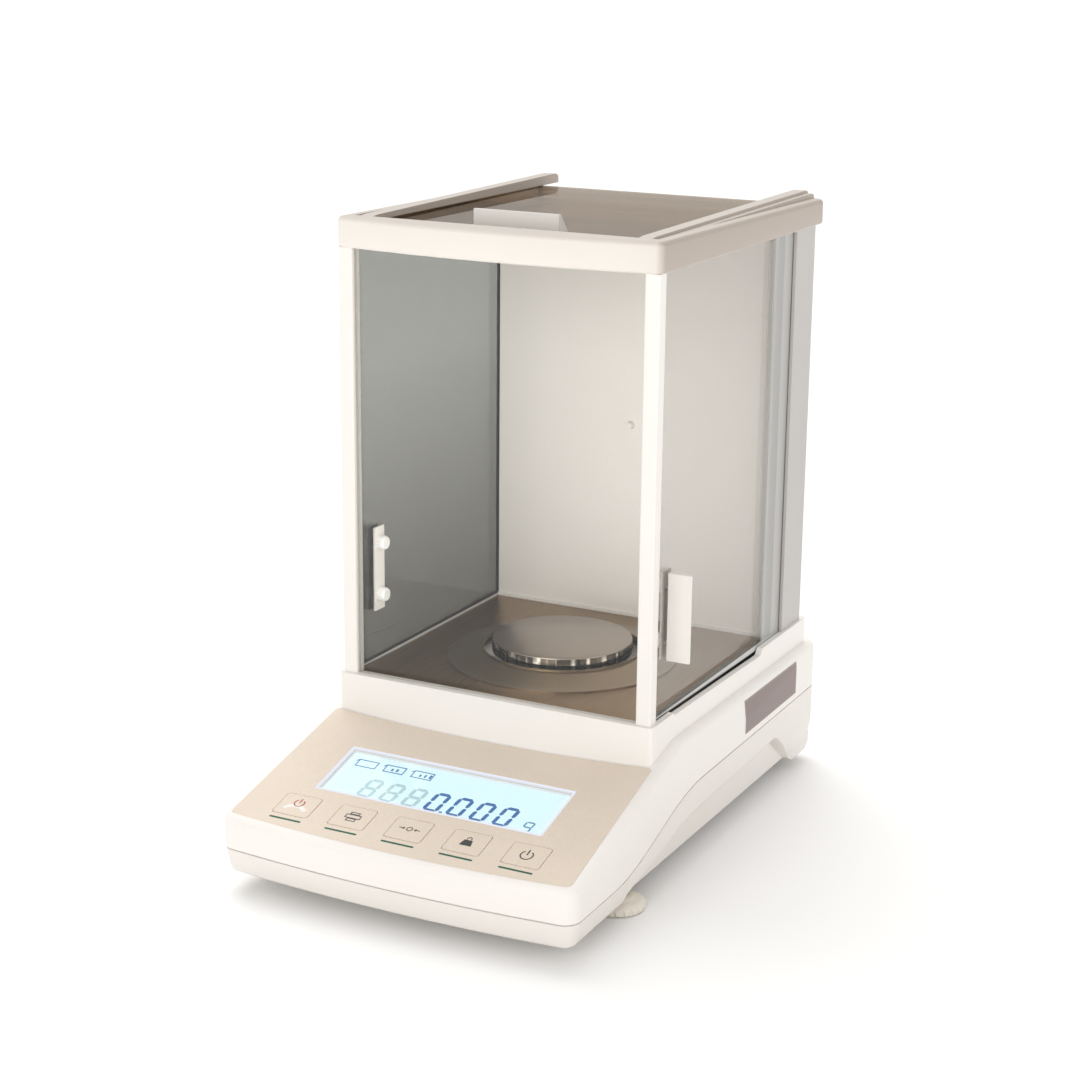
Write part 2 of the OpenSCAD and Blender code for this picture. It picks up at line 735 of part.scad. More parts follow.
module magnet_pot() color([0.35, 0.35, 0.37]) placed() translate([0, coil_y, pot_base]) difference() {
    cylinder(r = pot_r, h = pot_gap * 0.905);
    translate([0, 0, pot_gap * 0.19]) difference() {
        cylinder(r = coil_r + coil_t + 1.5, h = pot_gap);
        translate([0, 0, -1]) cylinder(r = coil_r - coil_t - 1.1, h = pot_gap + 2);
    }
}

module coil() color([0.72, 0.42, 0.20]) placed() translate([0, coil_y, pot_base + pot_gap * 0.528]) difference() {
    cylinder(r = coil_r + coil_t, h = pot_gap * 0.472);
    translate([0, 0, -1]) cylinder(r = coil_r - coil_t, h = pot_gap);
}

module lever_beam() color([0.78, 0.78, 0.80]) placed() {
    difference() {
        union() {
            block([-beam_w / 2, beam_front, beam_bottom], [beam_w / 2, coil_y, beam_top]);
            translate([0, coil_y, beam_bottom]) cylinder(r = coil_r + coil_t, h = 2);
        }
        for (y = [pivot_y + 16, pivot_y + 28]) translate([0, y, beam_bottom - 1]) cylinder(r = 3, h = 8);
    }
    translate([-cheek_in - 5, pivot_y, pivot_h]) rotate([0, 90, 0]) cylinder(r = pivot_r, h = 2 * cheek_in + 10);
}

module pan_carrier() color([0.74, 0.75, 0.77]) placed() {
    receiver_top = guide_h - 0.4;
    block([-receiver_w / 2, pan_y - 8, receiver_bottom], [receiver_w / 2, pan_y + 8, receiver_top]);
    block([-4, pan_y + 7, pivot_h - 9], [4, pivot_y - 6, beam_bottom - 0.3]);
    translate([0, pan_y, receiver_top - 1]) cylinder(r = pan_pin_r, h = deck_h + hub_bottom + 4 - receiver_top);
    translate([0, pan_y, deck_h + hub_bottom - 2.2]) cylinder(r = 14, h = 2.2);
    translate([0, pan_y, deck_h + hub_bottom - 8]) cylinder(r1 = 5, r2 = 13, h = 5.9);
}

// Electronics and rear sockets

board_h = 18;
board_t = 1.6;
board_x0 = -side_x + 28;
board_x1 = -cell_w / 2 - 4;
board_front = 0;
board_len = 154;
board_posts = [for (x = [board_x0 + 4, board_x1 - 4], y = [board_front + 4, board_front + board_len - 4]) [x, y]];

module main_board() color(board_green) placed() {
    difference() {
        block([board_x0, board_front, board_h], [board_x1, board_front + board_len, board_h + board_t]);
        for (p = board_posts) translate([p[0], p[1], board_h - 2]) cylinder(r = 1.3, h = 6);
    }
    // Two chips, two capacitors and a connector stand on it.
    translate([0, board_front, board_h + board_t - 0.1]) {
        block([board_x0 + 8, 40, 0], [board_x0 + 28, 60, 2.1]);
        block([board_x0 + 4, 84, 0], [board_x0 + 14, 100, 3.5]);
        for (y = [112, 128]) translate([board_x1 - 12, y, 0]) cylinder(r = 5, h = 12);
        block([board_x0 + 4, 16, 0], [board_x0 + 26, 24, 6.5]);
    }
}

bay_face = base_rear - bay_depth;

module power_jack() color(dark_plastic) placed() {
    difference() {
        union() {
            translate([jack_x, bay_face + 0.6, jack_z]) rotate([90, 0, 0]) cylinder(r = jack_r - 0.1, h = 2 * wall + 0.7);
            block([jack_x - 5.5, bay_face - 2 * wall - 9, jack_z - 5.5], [jack_x + 5.5, bay_face - 2 * wall, jack_z + 5.5]);
        }
        translate([jack_x, bay_face + 2, jack_z]) rotate([90, 0, 0]) cylinder(r = 2.8, h = 11.5);
    }
    translate([jack_x, bay_face - 0.4, jack_z]) rotate([90, 0, 0]) cylinder(r = 1.05, h = 9.5);
}

module serial_port() color([0.55, 0.56, 0.58]) placed() {
    difference() {
        union() {
            block([port_x - port_w / 2, bay_face, jack_z - port_h / 2], [port_x + port_w / 2, bay_face + 0.8, jack_z + port_h / 2]);
            block([port_x - 8.6, bay_face - 3 * wall - 2, jack_z - 4], [port_x + 8.6, bay_face + 3.6, jack_z + 4]);
            block([port_x - 9.2, bay_face - 3 * wall - 4, jack_z - 4.4], [port_x + 9.2, bay_face - 0.1, jack_z + 4.4]);
        }
        for (side = [-1, 1]) translate([port_x + side * 12.5, bay_face + 2, jack_z]) rotate([90, 0, 0]) cylinder(r = 1.5, h = 4);
        for (i = [-2:2]) translate([port_x + 2.77 * i, bay_face + 5, jack_z + 1.4]) rotate([90, 0, 0]) cylinder(r = 0.6, h = 6);
        for (i = [-1.5:1.5]) translate([port_x + 2.77 * i, bay_face + 5, jack_z - 1.4]) rotate([90, 0, 0]) cylinder(r = 0.6, h = 6);
    }
}

// Feet and screws

insert_r = 5.1;
insert_bottom_h = 12.5;
insert_top_h = 30;

module foot_inserts() color(brass) placed() both_sides()
    translate([foot_x, foot_y, insert_bottom_h]) difference() {
        cylinder(r = insert_r, h = insert_top_h - insert_bottom_h);
        translate([0, 0, -1]) cylinder(r = screw_r + 0.05, h = insert_top_h);
    }

pad_r = 7;
pad_t = 2;
wheel_top_h = belly_h - level_travel - 0.3;

module foot_pad() color(rubber_grey) placed() translate([foot_x, foot_y, 0]) {
    cylinder(r = pad_r, h = pad_t);
    cylinder(r = 1.5, h = pad_t + 2);
}

module foot_wheel() color([0.90, 0.87, 0.80]) placed() translate([foot_x, foot_y, 0]) difference() {
    union() {
        rotate_extrude($fn = 64) polygon([
            [0, 0.6], [wheel_r - 0.8, 0.6], [wheel_r, 1.4], [wheel_r, 2.8], [wheel_r - 0.8, 4.4],
            [wheel_r - 2.6, 5.8], [wheel_r - 5.4, 6.8], [wheel_r - 7, wheel_top_h], [0, wheel_top_h]]);
        cylinder(r = screw_r, h = insert_top_h + 1);
    }
    translate([0, 0, -1]) cylinder(r = pad_r + 0.4, h = pad_t + 1.3);
    cylinder(r = 1.55, h = pad_t + 2.4);
    for (i = [0:flute_count - 1]) rotate([0, 0, 360 * i / flute_count])
        translate([wheel_r + 0.4, 0, 0]) cylinder(r = 1.2, h = 10, $fn = 24);
}

module right_foot_pad() foot_pad();
module right_foot_wheel() foot_wheel();
module left_foot_pad() mirror([1, 0, 0]) foot_pad();
module left_foot_wheel() mirror([1, 0, 0]) foot_wheel();

module rear_feet() color(rubber_grey) placed() both_sides()
    translate([rear_foot_place[0], rear_foot_place[1], 0]) rotate_extrude() polygon([
        [0, 0], [rear_foot_r - 1, 0], [rear_foot_r, 1], [rear_foot_r, leg_h + 2.5], [0, leg_h + 2.5]]);

module case_screws() color(steel) placed() both_sides() for (p = screw_places) translate([p[0], p[1], 0]) {
    translate([0, 0, belly_h + 0.8]) cylinder(r = 3, h = 2.2);
    translate([0, 0, belly_h + 2]) cylinder(r = 1.6, h = boss_meet(p) + 8 - belly_h);
}

// Draft shield

rear_screw_y = (rear_wall_y + rear_wall_t + shield_d) / 2;
shield_screw_places = [[post_x - post_w / 2, post_d / 2, deck_h - 9], [groove_in - 7, rear_screw_y, deck_h - deck_t]];
pane_seat = 1.5;
front_pane_y = 2.4;

module front_post() color(shell_white) placed() difference() {
    plate(post_x - post_w, post_x, 0, post_d, deck_h, cap_under, 1);
    block([post_x - post_w - 1, front_pane_y - 0.05, deck_h - 1],
        [post_x - post_w + pane_seat, front_pane_y + glass_t + 0.05, cap_under + 1]);
    translate([shield_screw_places[0][0], shield_screw_places[0][1], deck_h - 1]) cylinder(r = 1.62, h = 9);
}

module front_right_post() front_post();
module front_left_post() mirror([1, 0, 0]) front_post();

module front_pane() color(clear_glass) placed()
    block([-post_x + post_w - pane_seat + 0.1, front_pane_y, deck_h],
        [post_x - post_w + pane_seat - 0.1, front_pane_y + glass_t, cap_under]);

rear_post_in = groove_in - rear_post_w;

module rear_post() color(shell_white) placed() difference() {
    plate(rear_post_in, groove_in, rear_wall_y + rear_wall_t, shield_d, deck_h, cap_under, 0.8);
    translate([shield_screw_places[1][0], shield_screw_places[1][1], deck_h - 1]) cylinder(r = 1.62, h = 9);
}

module rear_right_post() rear_post();
module rear_left_post() mirror([1, 0, 0]) rear_post();

module rear_cover() color(shell_white) placed()
    block([post_x - cover_t, shield_d - cover_d, deck_h], [post_x, shield_d, cap_under]);

module rear_right_cover() rear_cover();
module rear_left_cover() mirror([1, 0, 0]) rear_cover();

plug_r = 2.4;

module rear_wall() color(shell_white) placed() difference() {
    union() {
        block([-groove_in, rear_wall_y, deck_h], [groove_in, rear_wall_y + rear_wall_t, cap_under]);
        block([-groove_in, rear_wall_y - 1.2, deck_h], [groove_in, rear_wall_y, deck_h + 2]);
    }
    translate([0, rear_wall_y - 5, deck_h + plug_rise]) rotate([-90, 0, 0]) cylinder(r = plug_r - 0.8, h = 12);
}

module wall_plug() color(shell_white) placed() translate([0, rear_wall_y, deck_h + plug_rise]) {
    rotate([90, 0, 0]) cylinder(r1 = plug_r, r2 = plug_r - 0.5, h = 3.2);
    rotate([-90, 0, 0]) cylinder(r = plug_r - 0.85, h = rear_wall_t + 1);
}

module back_panel() color(shell_white) placed()
    block([-rear_post_in, shield_d - 3, deck_h], [rear_post_in, shield_d, cap_under]);

module shield_screws() color(steel) placed() both_sides() for (p = shield_screw_places) {
    translate([p[0], p[1], p[2] - 1]) cylinder(r = 1.6, h = deck_h + 8 - p[2]);
    translate([p[0], p[1], p[2] - 2.6]) cylinder(r = 3, h = 2.6);
}

// Cap

cap_corner_x = cap_w / 2 - cap_corner_r;
cap_front = -0.7;

function cap_profile(top) = concat(
    [[0, cap_under], [cap_corner_r - 0.8, cap_under], [cap_corner_r, cap_under + 0.8]],
    [for (a = [0:22.5:90]) [cap_corner_r - cap_edge_r * (1 - cos(a)), top - cap_edge_r * (1 - sin(a))]],
    [[0, top]]);

module cap_form() hull() {
    for (i = [-4:4]) translate([cap_corner_x * i / 4, cap_front + cap_corner_r - cap_bow * (1 - pow(i / 4, 2)), 0])
        rotate_extrude($fn = hull_fn) polygon(cap_profile(cap_top));
    for (x = [-cap_corner_x, cap_corner_x]) translate([x, cap_rear - cap_corner_r, 0])
        rotate_extrude($fn = hull_fn) polygon(cap_profile(cap_top - cap_fall));
}

rib_start = 5;
rib_end = cap_rear - 0.6;
rib_free = 27;
cap_ledge_rise = 4;

// Side view of a rib: it starts flush with the front bar and climbs to a rounded tail.
function rib_line(drop) = [
    [rib_start, cap_top - cap_edge_r], [rib_start, cap_top - 0.4], [rib_start + 9, cap_top + rib_front_rise - drop],
    [rib_end - 4, cap_top + rib_rear_rise - drop], [rib_end - 1.2, cap_top + rib_rear_rise - drop - 0.8],
    [rib_end, cap_top + rib_rear_rise - drop - 2.4], [rib_end, top_slot_h]];

module rib() {
    across(rib_in, rib_in + rib_w) polygon(rib_line(0));
    across(rib_in + rib_w - 0.5, rib_out) polygon(rib_line(1.6));
}

module cap_frame() color(shell_white) placed() difference() {
    union() {
        difference() {
            cap_form();
            block([-rib_out, step_front, step_h], [rib_out, cap_rear + 1, cap_top + 1]);
        }
        both_sides() {
            rib();
            block([top_slot_x, step_front - 1, step_h - 1], [rib_out + 1, rib_end - rib_free, top_slot_h + 1]);
        }
    }
    both_sides() {
        block([rib_in - 5, step_front, step_h], [top_slot_x, cap_rear + 1, top_slot_h]);
        block([groove_in, pane_front - 1, cap_under - 1], [pane_out + slide_gap, cap_rear + 1, door_groove_top]);
    }
    plate(-hatch_w / 2, hatch_w / 2, hatch_front, rear_wall_y, cap_under - 1, cap_top + 9, 2);
    plate(-hatch_w / 2, hatch_w / 2, hatch_front, rear_wall_y + ledge_d, cap_under + cap_ledge_rise, cap_top + 9, 2);
}

// Sliding doors

module door_pane() color(clear_glass) placed() difference() {
    block([pane_in, pane_front, runner_top], [pane_out, edge_strip_front, door_top]);
    for (z = grip_screw_heights) translate([pane_in - 1, grip_y + grip_foot / 2, z])
        rotate([0, 90, 0]) cylinder(r = 2.1, h = glass_t + 2);
}

grip_screw_heights = [for (side = [-1, 1]) deck_h + grip_rise + grip_len / 2 + side * grip_screw_pitch / 2];

module door_runner() color(strip_grey) placed() {
    block([pane_in, pane_front, runner_bottom], [pane_out, edge_strip_rear, runner_top]);
    block([pane_in + 0.8, pane_front + 1, deck_h - groove_depth + 0.3], [pane_out - 0.8, edge_strip_rear, runner_bottom]);
}

module door_edge() color(strip_grey) placed()
    block([pane_in, edge_strip_front, runner_top], [pane_out, edge_strip_rear, door_top]);

// Grip section: an upright finger face and a sloping back on a flat foot.
module grip_section(reach) {
    polygon([[0, 0], [reach, 0], [reach, grip_edge], [0, grip_foot]]);
}

module door_grip() color(shell_white) placed() difference() {
    translate([pane_out, grip_y, deck_h + grip_rise]) linear_extrude(grip_len) grip_section(grip_reach);
    for (z = grip_screw_heights) translate([pane_out - 1, grip_y + grip_foot / 2, z])
        rotate([0, 90, 0]) cylinder(r = 1.55, h = 5);
}

module door_backing() color(shell_white) placed() difference() {
    block([pane_in - backing_t, grip_y, deck_h + grip_rise], [pane_in, grip_y + grip_foot, deck_h + grip_rise + grip_len]);
    for (z = grip_screw_heights) translate([pane_in - 2, grip_y + grip_foot / 2, z])
        rotate([0, 90, 0]) cylinder(r = 1.6, h = 4);
}

module door_nuts() color([0.96, 0.95, 0.92]) placed()
    for (z = grip_screw_heights) translate([pane_in - backing_t, grip_y + grip_foot / 2, z]) rotate([0, 90, 0]) {
        translate([0, 0, -nut_t]) cylinder(r1 = nut_r - 0.6, r2 = nut_r, h = 1.2);
        translate([0, 0, -nut_t + 1.2]) cylinder(r = nut_r, h = nut_t - 1.2);
        cylinder(r = 1.5, h = backing_t + glass_t + 3.5);
    }

module right_door_pane() door_pane();
module right_door_runner() door_runner();
module right_door_edge() door_edge();
module right_door_grip() door_grip();
module right_door_backing() door_backing();
module right_door_nuts() door_nuts();
module left_door_pane() mirror([1, 0, 0]) door_pane();
module left_door_runner() mirror([1, 0, 0]) door_runner();
module left_door_edge() mirror([1, 0, 0]) door_edge();
module left_door_grip() mirror([1, 0, 0]) door_grip();
module left_door_backing() mirror([1, 0, 0]) door_backing();
module left_door_nuts() mirror([1, 0, 0]) door_nuts();

module top_door_pane() color(clear_glass) placed()
    block([-top_slot_x + slide_gap, step_front + 0.5, top_pane_z],
        [top_slot_x - slide_gap, top_pane_rear, top_pane_z + glass_t]);

module top_door_grip() color(shell_white) placed()
    translate([0, top_grip_y, top_pane_z + glass_t]) across(-top_grip_len / 2, top_grip_len / 2)
        polygon([[0, 0], [grip_foot, 0], [grip_edge, top_grip_h], [0, top_grip_h]]);

lower_housing();
upper_housing();
panel_film();
display_window();
display_module();
display_board();
key_switches();
chamber_floor();
cell_frame();
guide_arms();
magnet_pot();
main_board();
power_jack();
serial_port();
rear_feet();
foot_inserts();
case_screws();
front_left_post();
front_right_post();
rear_left_post();
rear_right_post();
rear_left_cover();
rear_right_cover();
rear_wall();
back_panel();
wall_plug();
cap_frame();
front_pane();
shield_screws();
left_door_pane();
left_door_runner();
left_door_edge();
left_door_grip();
left_door_backing();
left_door_nuts();
right_door_pane();
right_door_runner();
right_door_edge();
right_door_grip();
right_door_backing();
right_door_nuts();
top_door_pane();
top_door_grip();
weighing_pan();
draft_ring();
pan_carrier();
lever_beam();
coil();
key_1();
key_2();
key_3();
key_4();
key_5();
left_foot_pad();
left_foot_wheel();
right_foot_pad();
right_foot_wheel();
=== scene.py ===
import math

import bmesh
import bpy
from mathutils import Matrix, Vector


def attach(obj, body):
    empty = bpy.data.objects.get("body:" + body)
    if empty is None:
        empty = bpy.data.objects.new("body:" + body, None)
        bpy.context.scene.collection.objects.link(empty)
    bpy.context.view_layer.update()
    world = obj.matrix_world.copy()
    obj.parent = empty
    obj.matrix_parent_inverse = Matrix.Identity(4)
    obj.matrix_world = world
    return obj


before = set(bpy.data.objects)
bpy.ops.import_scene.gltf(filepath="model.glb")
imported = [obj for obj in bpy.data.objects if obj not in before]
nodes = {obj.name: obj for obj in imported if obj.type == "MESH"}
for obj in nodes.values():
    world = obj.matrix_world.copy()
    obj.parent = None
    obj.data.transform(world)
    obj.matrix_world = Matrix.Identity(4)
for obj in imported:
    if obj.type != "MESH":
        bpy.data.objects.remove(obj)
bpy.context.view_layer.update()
print("frame loaded:", len(nodes), "pieces")

mm = 0.001
# how far the frame's origin lies behind the front posts' front faces, in millimetres
frontShift = 58.75


# a socket that can be added, multiplied and so on, each sum making its own node
class Wire:
    def __init__(self, shade, socket):
        self.shade = shade
        self.socket = socket

    def spread(self, value, alpha=()):
        return (value, value, value) + alpha if isinstance(value, (int, float)) else value

    def sum(self, operation, first, second=None):
        pair = [first] if second is None else [first, second]
        kinds = {p.socket.type for p in pair if isinstance(p, Wire)}
        if kinds == {"VALUE"}:
            return self.shade.add("ShaderNodeMath", {"operation": operation}, dict(enumerate(pair)))
        if "RGBA" in kinds:
            under, over = (self.spread(p, (1,)) for p in pair)
            return self.shade.add("ShaderNodeMix", {"data_type": "RGBA", "blend_type": operation},
                                  {0: 1.0, 6: under, 7: over}, out=2)
        if operation == "MULTIPLY" and isinstance(second, (int, float)):
            return self.shade.add("ShaderNodeVectorMath", {"operation": "SCALE"}, {0: first, 3: second})
        return self.shade.add("ShaderNodeVectorMath", {"operation": operation},
                              dict(enumerate(self.spread(p) for p in pair)))

    def __add__(self, other): return self.sum("ADD", self, other)
    def __radd__(self, other): return self.sum("ADD", other, self)
    def __sub__(self, other): return self.sum("SUBTRACT", self, other)
    def __rsub__(self, other): return self.sum("SUBTRACT", other, self)
    def __mul__(self, other): return self.sum("MULTIPLY", self, other)
    def __rmul__(self, other): return self.sum("MULTIPLY", self, other)
    def __truediv__(self, other): return self.sum("DIVIDE", self, other)
    def __rtruediv__(self, other): return self.sum("DIVIDE", other, self)
    def __pow__(self, other): return self.sum("POWER", self, other)
    def __abs__(self): return self.sum("ABSOLUTE", self)
    def smaller(self, other): return self.sum("MINIMUM", self, other)
    def larger(self, other): return self.sum("MAXIMUM", self, other)
    def clamped(self, top=1.0): return self.larger(0.0).smaller(top)
    def turnFrom(self, other): return self.sum("ARCTAN2", self, other)


# one material and its tree; add() makes any node
class Shade:
    def __init__(self, name):
        self.material = bpy.data.materials.new(name)
        self.material.use_nodes = True
        self.tree = self.material.node_tree
        self.tree.nodes.clear()

    def add(self, kind, settings=None, inputs=None, out=0):
        made = self.tree.nodes.new(kind)
        for key, value in (settings or {}).items():
            if key == "stops":
                ramp = made.color_ramp
                while len(ramp.elements) < len(value):
                    ramp.elements.new(0.5)
                for element, (place, colour) in zip(ramp.elements, value):
                    element.position = place
                    element.color = colour
            else:
                setattr(made, key, value)
        for key, value in (inputs or {}).items():
            if isinstance(value, Wire):
                self.tree.links.new(value.socket, made.inputs[key])
            else:
                made.inputs[key].default_value = value
        return Wire(self, made.outputs[out])

    def place(self):
        return self.add("ShaderNodeTexCoord", out=3)

    def axes(self, vector):
        parts = self.add("ShaderNodeSeparateXYZ", inputs={0: vector}).socket.node
        return [Wire(self, socket) for socket in parts.outputs]

    def noise(self, vector, scale, detail=2.0, rough=0.5):
        return self.add("ShaderNodeTexNoise", inputs={
            "Vector": vector, "Scale": scale, "Detail": detail, "Roughness": rough})

    def ramp(self, value, *stops):
        return self.add("ShaderNodeValToRGB", {"stops": stops}, {0: value})

    def between(self, factor, first, second):
        return self.add("ShaderNodeMix", {"data_type": "RGBA"}, {0: factor, 6: first, 7: second}, out=2)

    def bump(self, height, strength, distance, **normal):
        return self.add("ShaderNodeBump", inputs={
            "Height": height, "Strength": strength, "Distance": distance, **normal})

    def softEdge(self, radius):
        return self.add("ShaderNodeBevel", {"samples": 4}, {"Radius": radius})

    def clear(self, tint):
        return self.add("ShaderNodeBsdfTransparent", inputs={"Color": tint})

    def mirror(self, sheen):
        return self.add("ShaderNodeBsdfGlossy", inputs={"Color": sheen, "Roughness": 0.02})

    def slant(self):
        return self.add("ShaderNodeFresnel", inputs={"IOR": 1.5})

    def mixed(self, factor, first, second):
        return self.add("ShaderNodeMixShader", inputs={0: factor, 1: first, 2: second})

    def done(self, shader):
        output = self.tree.nodes.new("ShaderNodeOutputMaterial")
        self.tree.links.new(shader.socket, output.inputs["Surface"])
        return self.material

    def painted(self, inputs):
        return self.done(self.add("ShaderNodeBsdfPrincipled", inputs=inputs))


def colour(red, green, blue, alpha=1.0):
    return (red, green, blue, alpha)


# a look with its two tones, and what else changes from the look it starts with
def toned(look, light, dark, **changes):
    return {**look, "light": colour(*light), "dark": colour(*dark), **changes}


# moulded plastic: a fine spark texture, faint blotches and soft edges;
# a look with painted shade turns to its darker third tone on the top and right-hand faces
def mouldedPlastic(name, look):
    shade = Shade(name)
    place = shade.place()
    blotch = shade.noise(place, look["blotchScale"], detail=3.0)
    grain = shade.noise(place, look["grainScale"], detail=2.0, rough=0.6)
    tone = shade.between(blotch, look["light"], look["dark"])
    # painted shade: the top and right-hand faces are darkened by the way they face
    if "aged" in look:
        x, y, z = shade.axes(shade.add("ShaderNodeNewGeometry", out=1))
        aged = (x.larger(0.0) * look["rightAge"] + z.larger(0.0) * look["topAge"]).smaller(1.0)
        tone = shade.between(aged, tone, look["aged"])
    normal = shade.bump(grain, look["grainDepth"], look["grainHeight"], Normal=shade.softEdge(look["edge"]))
    return shade.painted({
        "Base Color": tone, "Roughness": look["roughness"] + look["roughSpread"] * (grain - 0.5),
        "Specular IOR Level": look["sheen"], "Normal": normal})


shellLook = toned({"blotchScale": 14.0, "grainScale": 2600.0, "grainDepth": 0.10, "grainHeight": 0.2 * mm,
                   "roughness": 0.40, "roughSpread": 0.12, "sheen": 0.45, "edge": 0.6 * mm},
                  (0.86, 0.835, 0.80), (0.82, 0.79, 0.75))
# the cap: its own warmer tone, with painted shade on its top and right-hand faces
capLook = toned(shellLook, (0.83, 0.79, 0.74), (0.79, 0.745, 0.69),
                aged=colour(0.42, 0.36, 0.31), rightAge=0.9, topAge=0.55)
trayLook = toned(shellLook, (0.81, 0.78, 0.74), (0.77, 0.735, 0.69))
# the rear posts and covers: the shell's tone darkened as painted shade
shadedLook = toned(shellLook, (0.52, 0.50, 0.485), (0.48, 0.46, 0.445))
wheelLook = toned(shellLook, (0.80, 0.76, 0.68), (0.74, 0.69, 0.60), roughness=0.35)
nylonLook = toned(shellLook, (0.90, 0.90, 0.88), (0.86, 0.86, 0.84), roughness=0.3)
stripLook = toned(shellLook, (0.46, 0.455, 0.44), (0.42, 0.415, 0.40), roughness=0.3)
blackLook = toned(shellLook, (0.03, 0.03, 0.032), (0.02, 0.02, 0.022), edge=0.2 * mm)
rubberLook = toned(shellLook, (0.035, 0.035, 0.035), (0.05, 0.05, 0.048),
                   roughness=0.75, sheen=0.25, grainDepth=0.3)
shell = mouldedPlastic("warmWhiteMoulding", shellLook)
capShell = mouldedPlastic("capMouldingPaintedShade", capLook)
trayShell = mouldedPlastic("trayMoulding", trayLook)
shadedShell = mouldedPlastic("paintedShadeMoulding", shadedLook)
creamWheel = mouldedPlastic("creamWheel", wheelLook)
nylon = mouldedPlastic("whiteNylon", nylonLook)
greyStrip = mouldedPlastic("greyStrip", stripLook)
blackPlastic = mouldedPlastic("blackPlastic", blackLook)
blackRubber = mouldedPlastic("blackRubber", rubberLook)
print("plastics mixed")


# grey runner with painted shade: black below a sloping line where the sill's gap is deepest
def gapShadePlastic(name, look):
    shade = Shade(name)
    place = shade.place()
    x, y, z = shade.axes(place)
    grain = shade.noise(place, look["grainScale"], detail=2.0)
    line = look["lineHeight"] - (y - look["lineStart"]) * look["lineFall"]
    shown = ((z - line) * look["sharpness"]).clamped()
    tone = shade.between(shown, look["gap"], shade.between(grain, look["light"], look["dark"]))
    return shade.painted({"Base Color": tone, "Roughness": look["roughness"] + look["roughSpread"] * grain})


# gap is the black of the painted shade in the sill's gap
runnerLook = toned({"gap": colour(0.012, 0.012, 0.012), "lineHeight": 90.8 * mm, "lineStart": -31.75 * mm,
                    "lineFall": 0.015, "sharpness": 8000.0, "grainScale": 900.0,
                    "roughness": 0.35, "roughSpread": 0.1},
                   (0.62, 0.62, 0.61), (0.56, 0.56, 0.55))
runnerPlastic = gapShadePlastic("runnerGapShade", runnerLook)


# the console film: small pebbles pressed into a beige sheet
def pebbledFilm(name, look):
    shade = Shade(name)
    place = shade.place()
    cells = shade.add("ShaderNodeTexVoronoi", {"feature": "F1"}, {
        "Vector": place, "Scale": look["pebbleScale"], "Randomness": 1.0})
    fine = shade.noise(place, look["pebbleScale"] * look["fineness"], detail=2.0)
    patch = shade.noise(place, look["patchScale"], detail=4.0, rough=0.55)
    tone = shade.between(patch * 0.6 + fine * 0.4, look["light"], look["dark"])
    return shade.painted({
        "Base Color": tone, "Roughness": look["roughness"] + look["roughSpread"] * (fine - 0.5),
        "Specular IOR Level": 0.5,
        "Normal": shade.bump(cells * 0.7 + fine * 0.3, look["depth"], look["pebbleHeight"])})


filmLook = toned({"pebbleScale": 800.0, "fineness": 2.1, "patchScale": 22.0, "depth": 0.7,
                  "pebbleHeight": 0.3 * mm, "roughness": 0.40, "roughSpread": 0.2},
                 (0.80, 0.70, 0.60), (0.66, 0.57, 0.475))
film = pebbledFilm("pebbledFilm", filmLook)


# sheet glass: clear through, mirror-like where it is seen on the slant; one pane is darkened as painted
# shade, more towards its foot, and one has a pale band of painted light at its rear end, over the shade of
# the gap behind it
def sheetGlass(name, look):
    shade = Shade(name)
    place = shade.place()
    x, y, z = shade.axes(place)
    smear = shade.noise(place, look["smearScale"], detail=3.0)
    through = shade.clear(look["tint"])
    # painted shade: the pane turns darker towards its foot
    if "footShade" in look:
        climb = ((z - look["fadeFoot"]) * (1 / look["fadeHeight"])).clamped()
        through = shade.mixed(climb, shade.clear(look["footShade"]), through)
    # painted light: a pale band over the shaded gap at the pane's rear end
    if "paintedLightTone" in look:
        band = ((y - look["bandStart"]) * (1 / look["bandWidth"])).clamped(look["bandCover"])
        pale = shade.add("ShaderNodeBsdfDiffuse", inputs={"Color": look["paintedLightTone"]})
        through = shade.mixed(band, through, pale)
    share = (shade.slant() * look["mirror"] + smear * look["smear"]).smaller(look["mostMirror"])
    return shade.done(shade.mixed(share, through, shade.mirror(look["sheen"])))


clearLook = {"tint": colour(0.985, 0.985, 0.98), "sheen": colour(0.95, 0.97, 0.97), "smearScale": 9.0,
             "mirror": 0.35, "smear": 0.01, "mostMirror": 0.9}
# the right door pane: a pale band of painted light at its rear end
rightLook = {**clearLook, "tint": colour(0.88, 0.87, 0.86), "mirror": 0.25, "bandStart": 96 * mm,
             "bandWidth": 8 * mm, "bandCover": 0.6, "paintedLightTone": colour(0.68, 0.675, 0.66)}
# the left door pane: darkened as painted shade for the dark surroundings seen through it
shadedPaneLook = {**clearLook, "tint": colour(0.585, 0.59, 0.575), "footShade": colour(0.34, 0.335, 0.32),
             "fadeFoot": 90 * mm, "fadeHeight": 170 * mm}
hatchLook = {**clearLook, "tint": colour(0.57, 0.515, 0.455), "sheen": colour(0.92, 0.85, 0.77),
             "mirror": 0.8}
clearGlass = sheetGlass("clearGlass", clearLook)
rightGlass = sheetGlass("rightGlass", rightLook)
shadedPaneGlass = sheetGlass("shadedGlass", shadedPaneLook)
hatchGlass = sheetGlass("hatchGlass", hatchLook)
print("glass mixed")


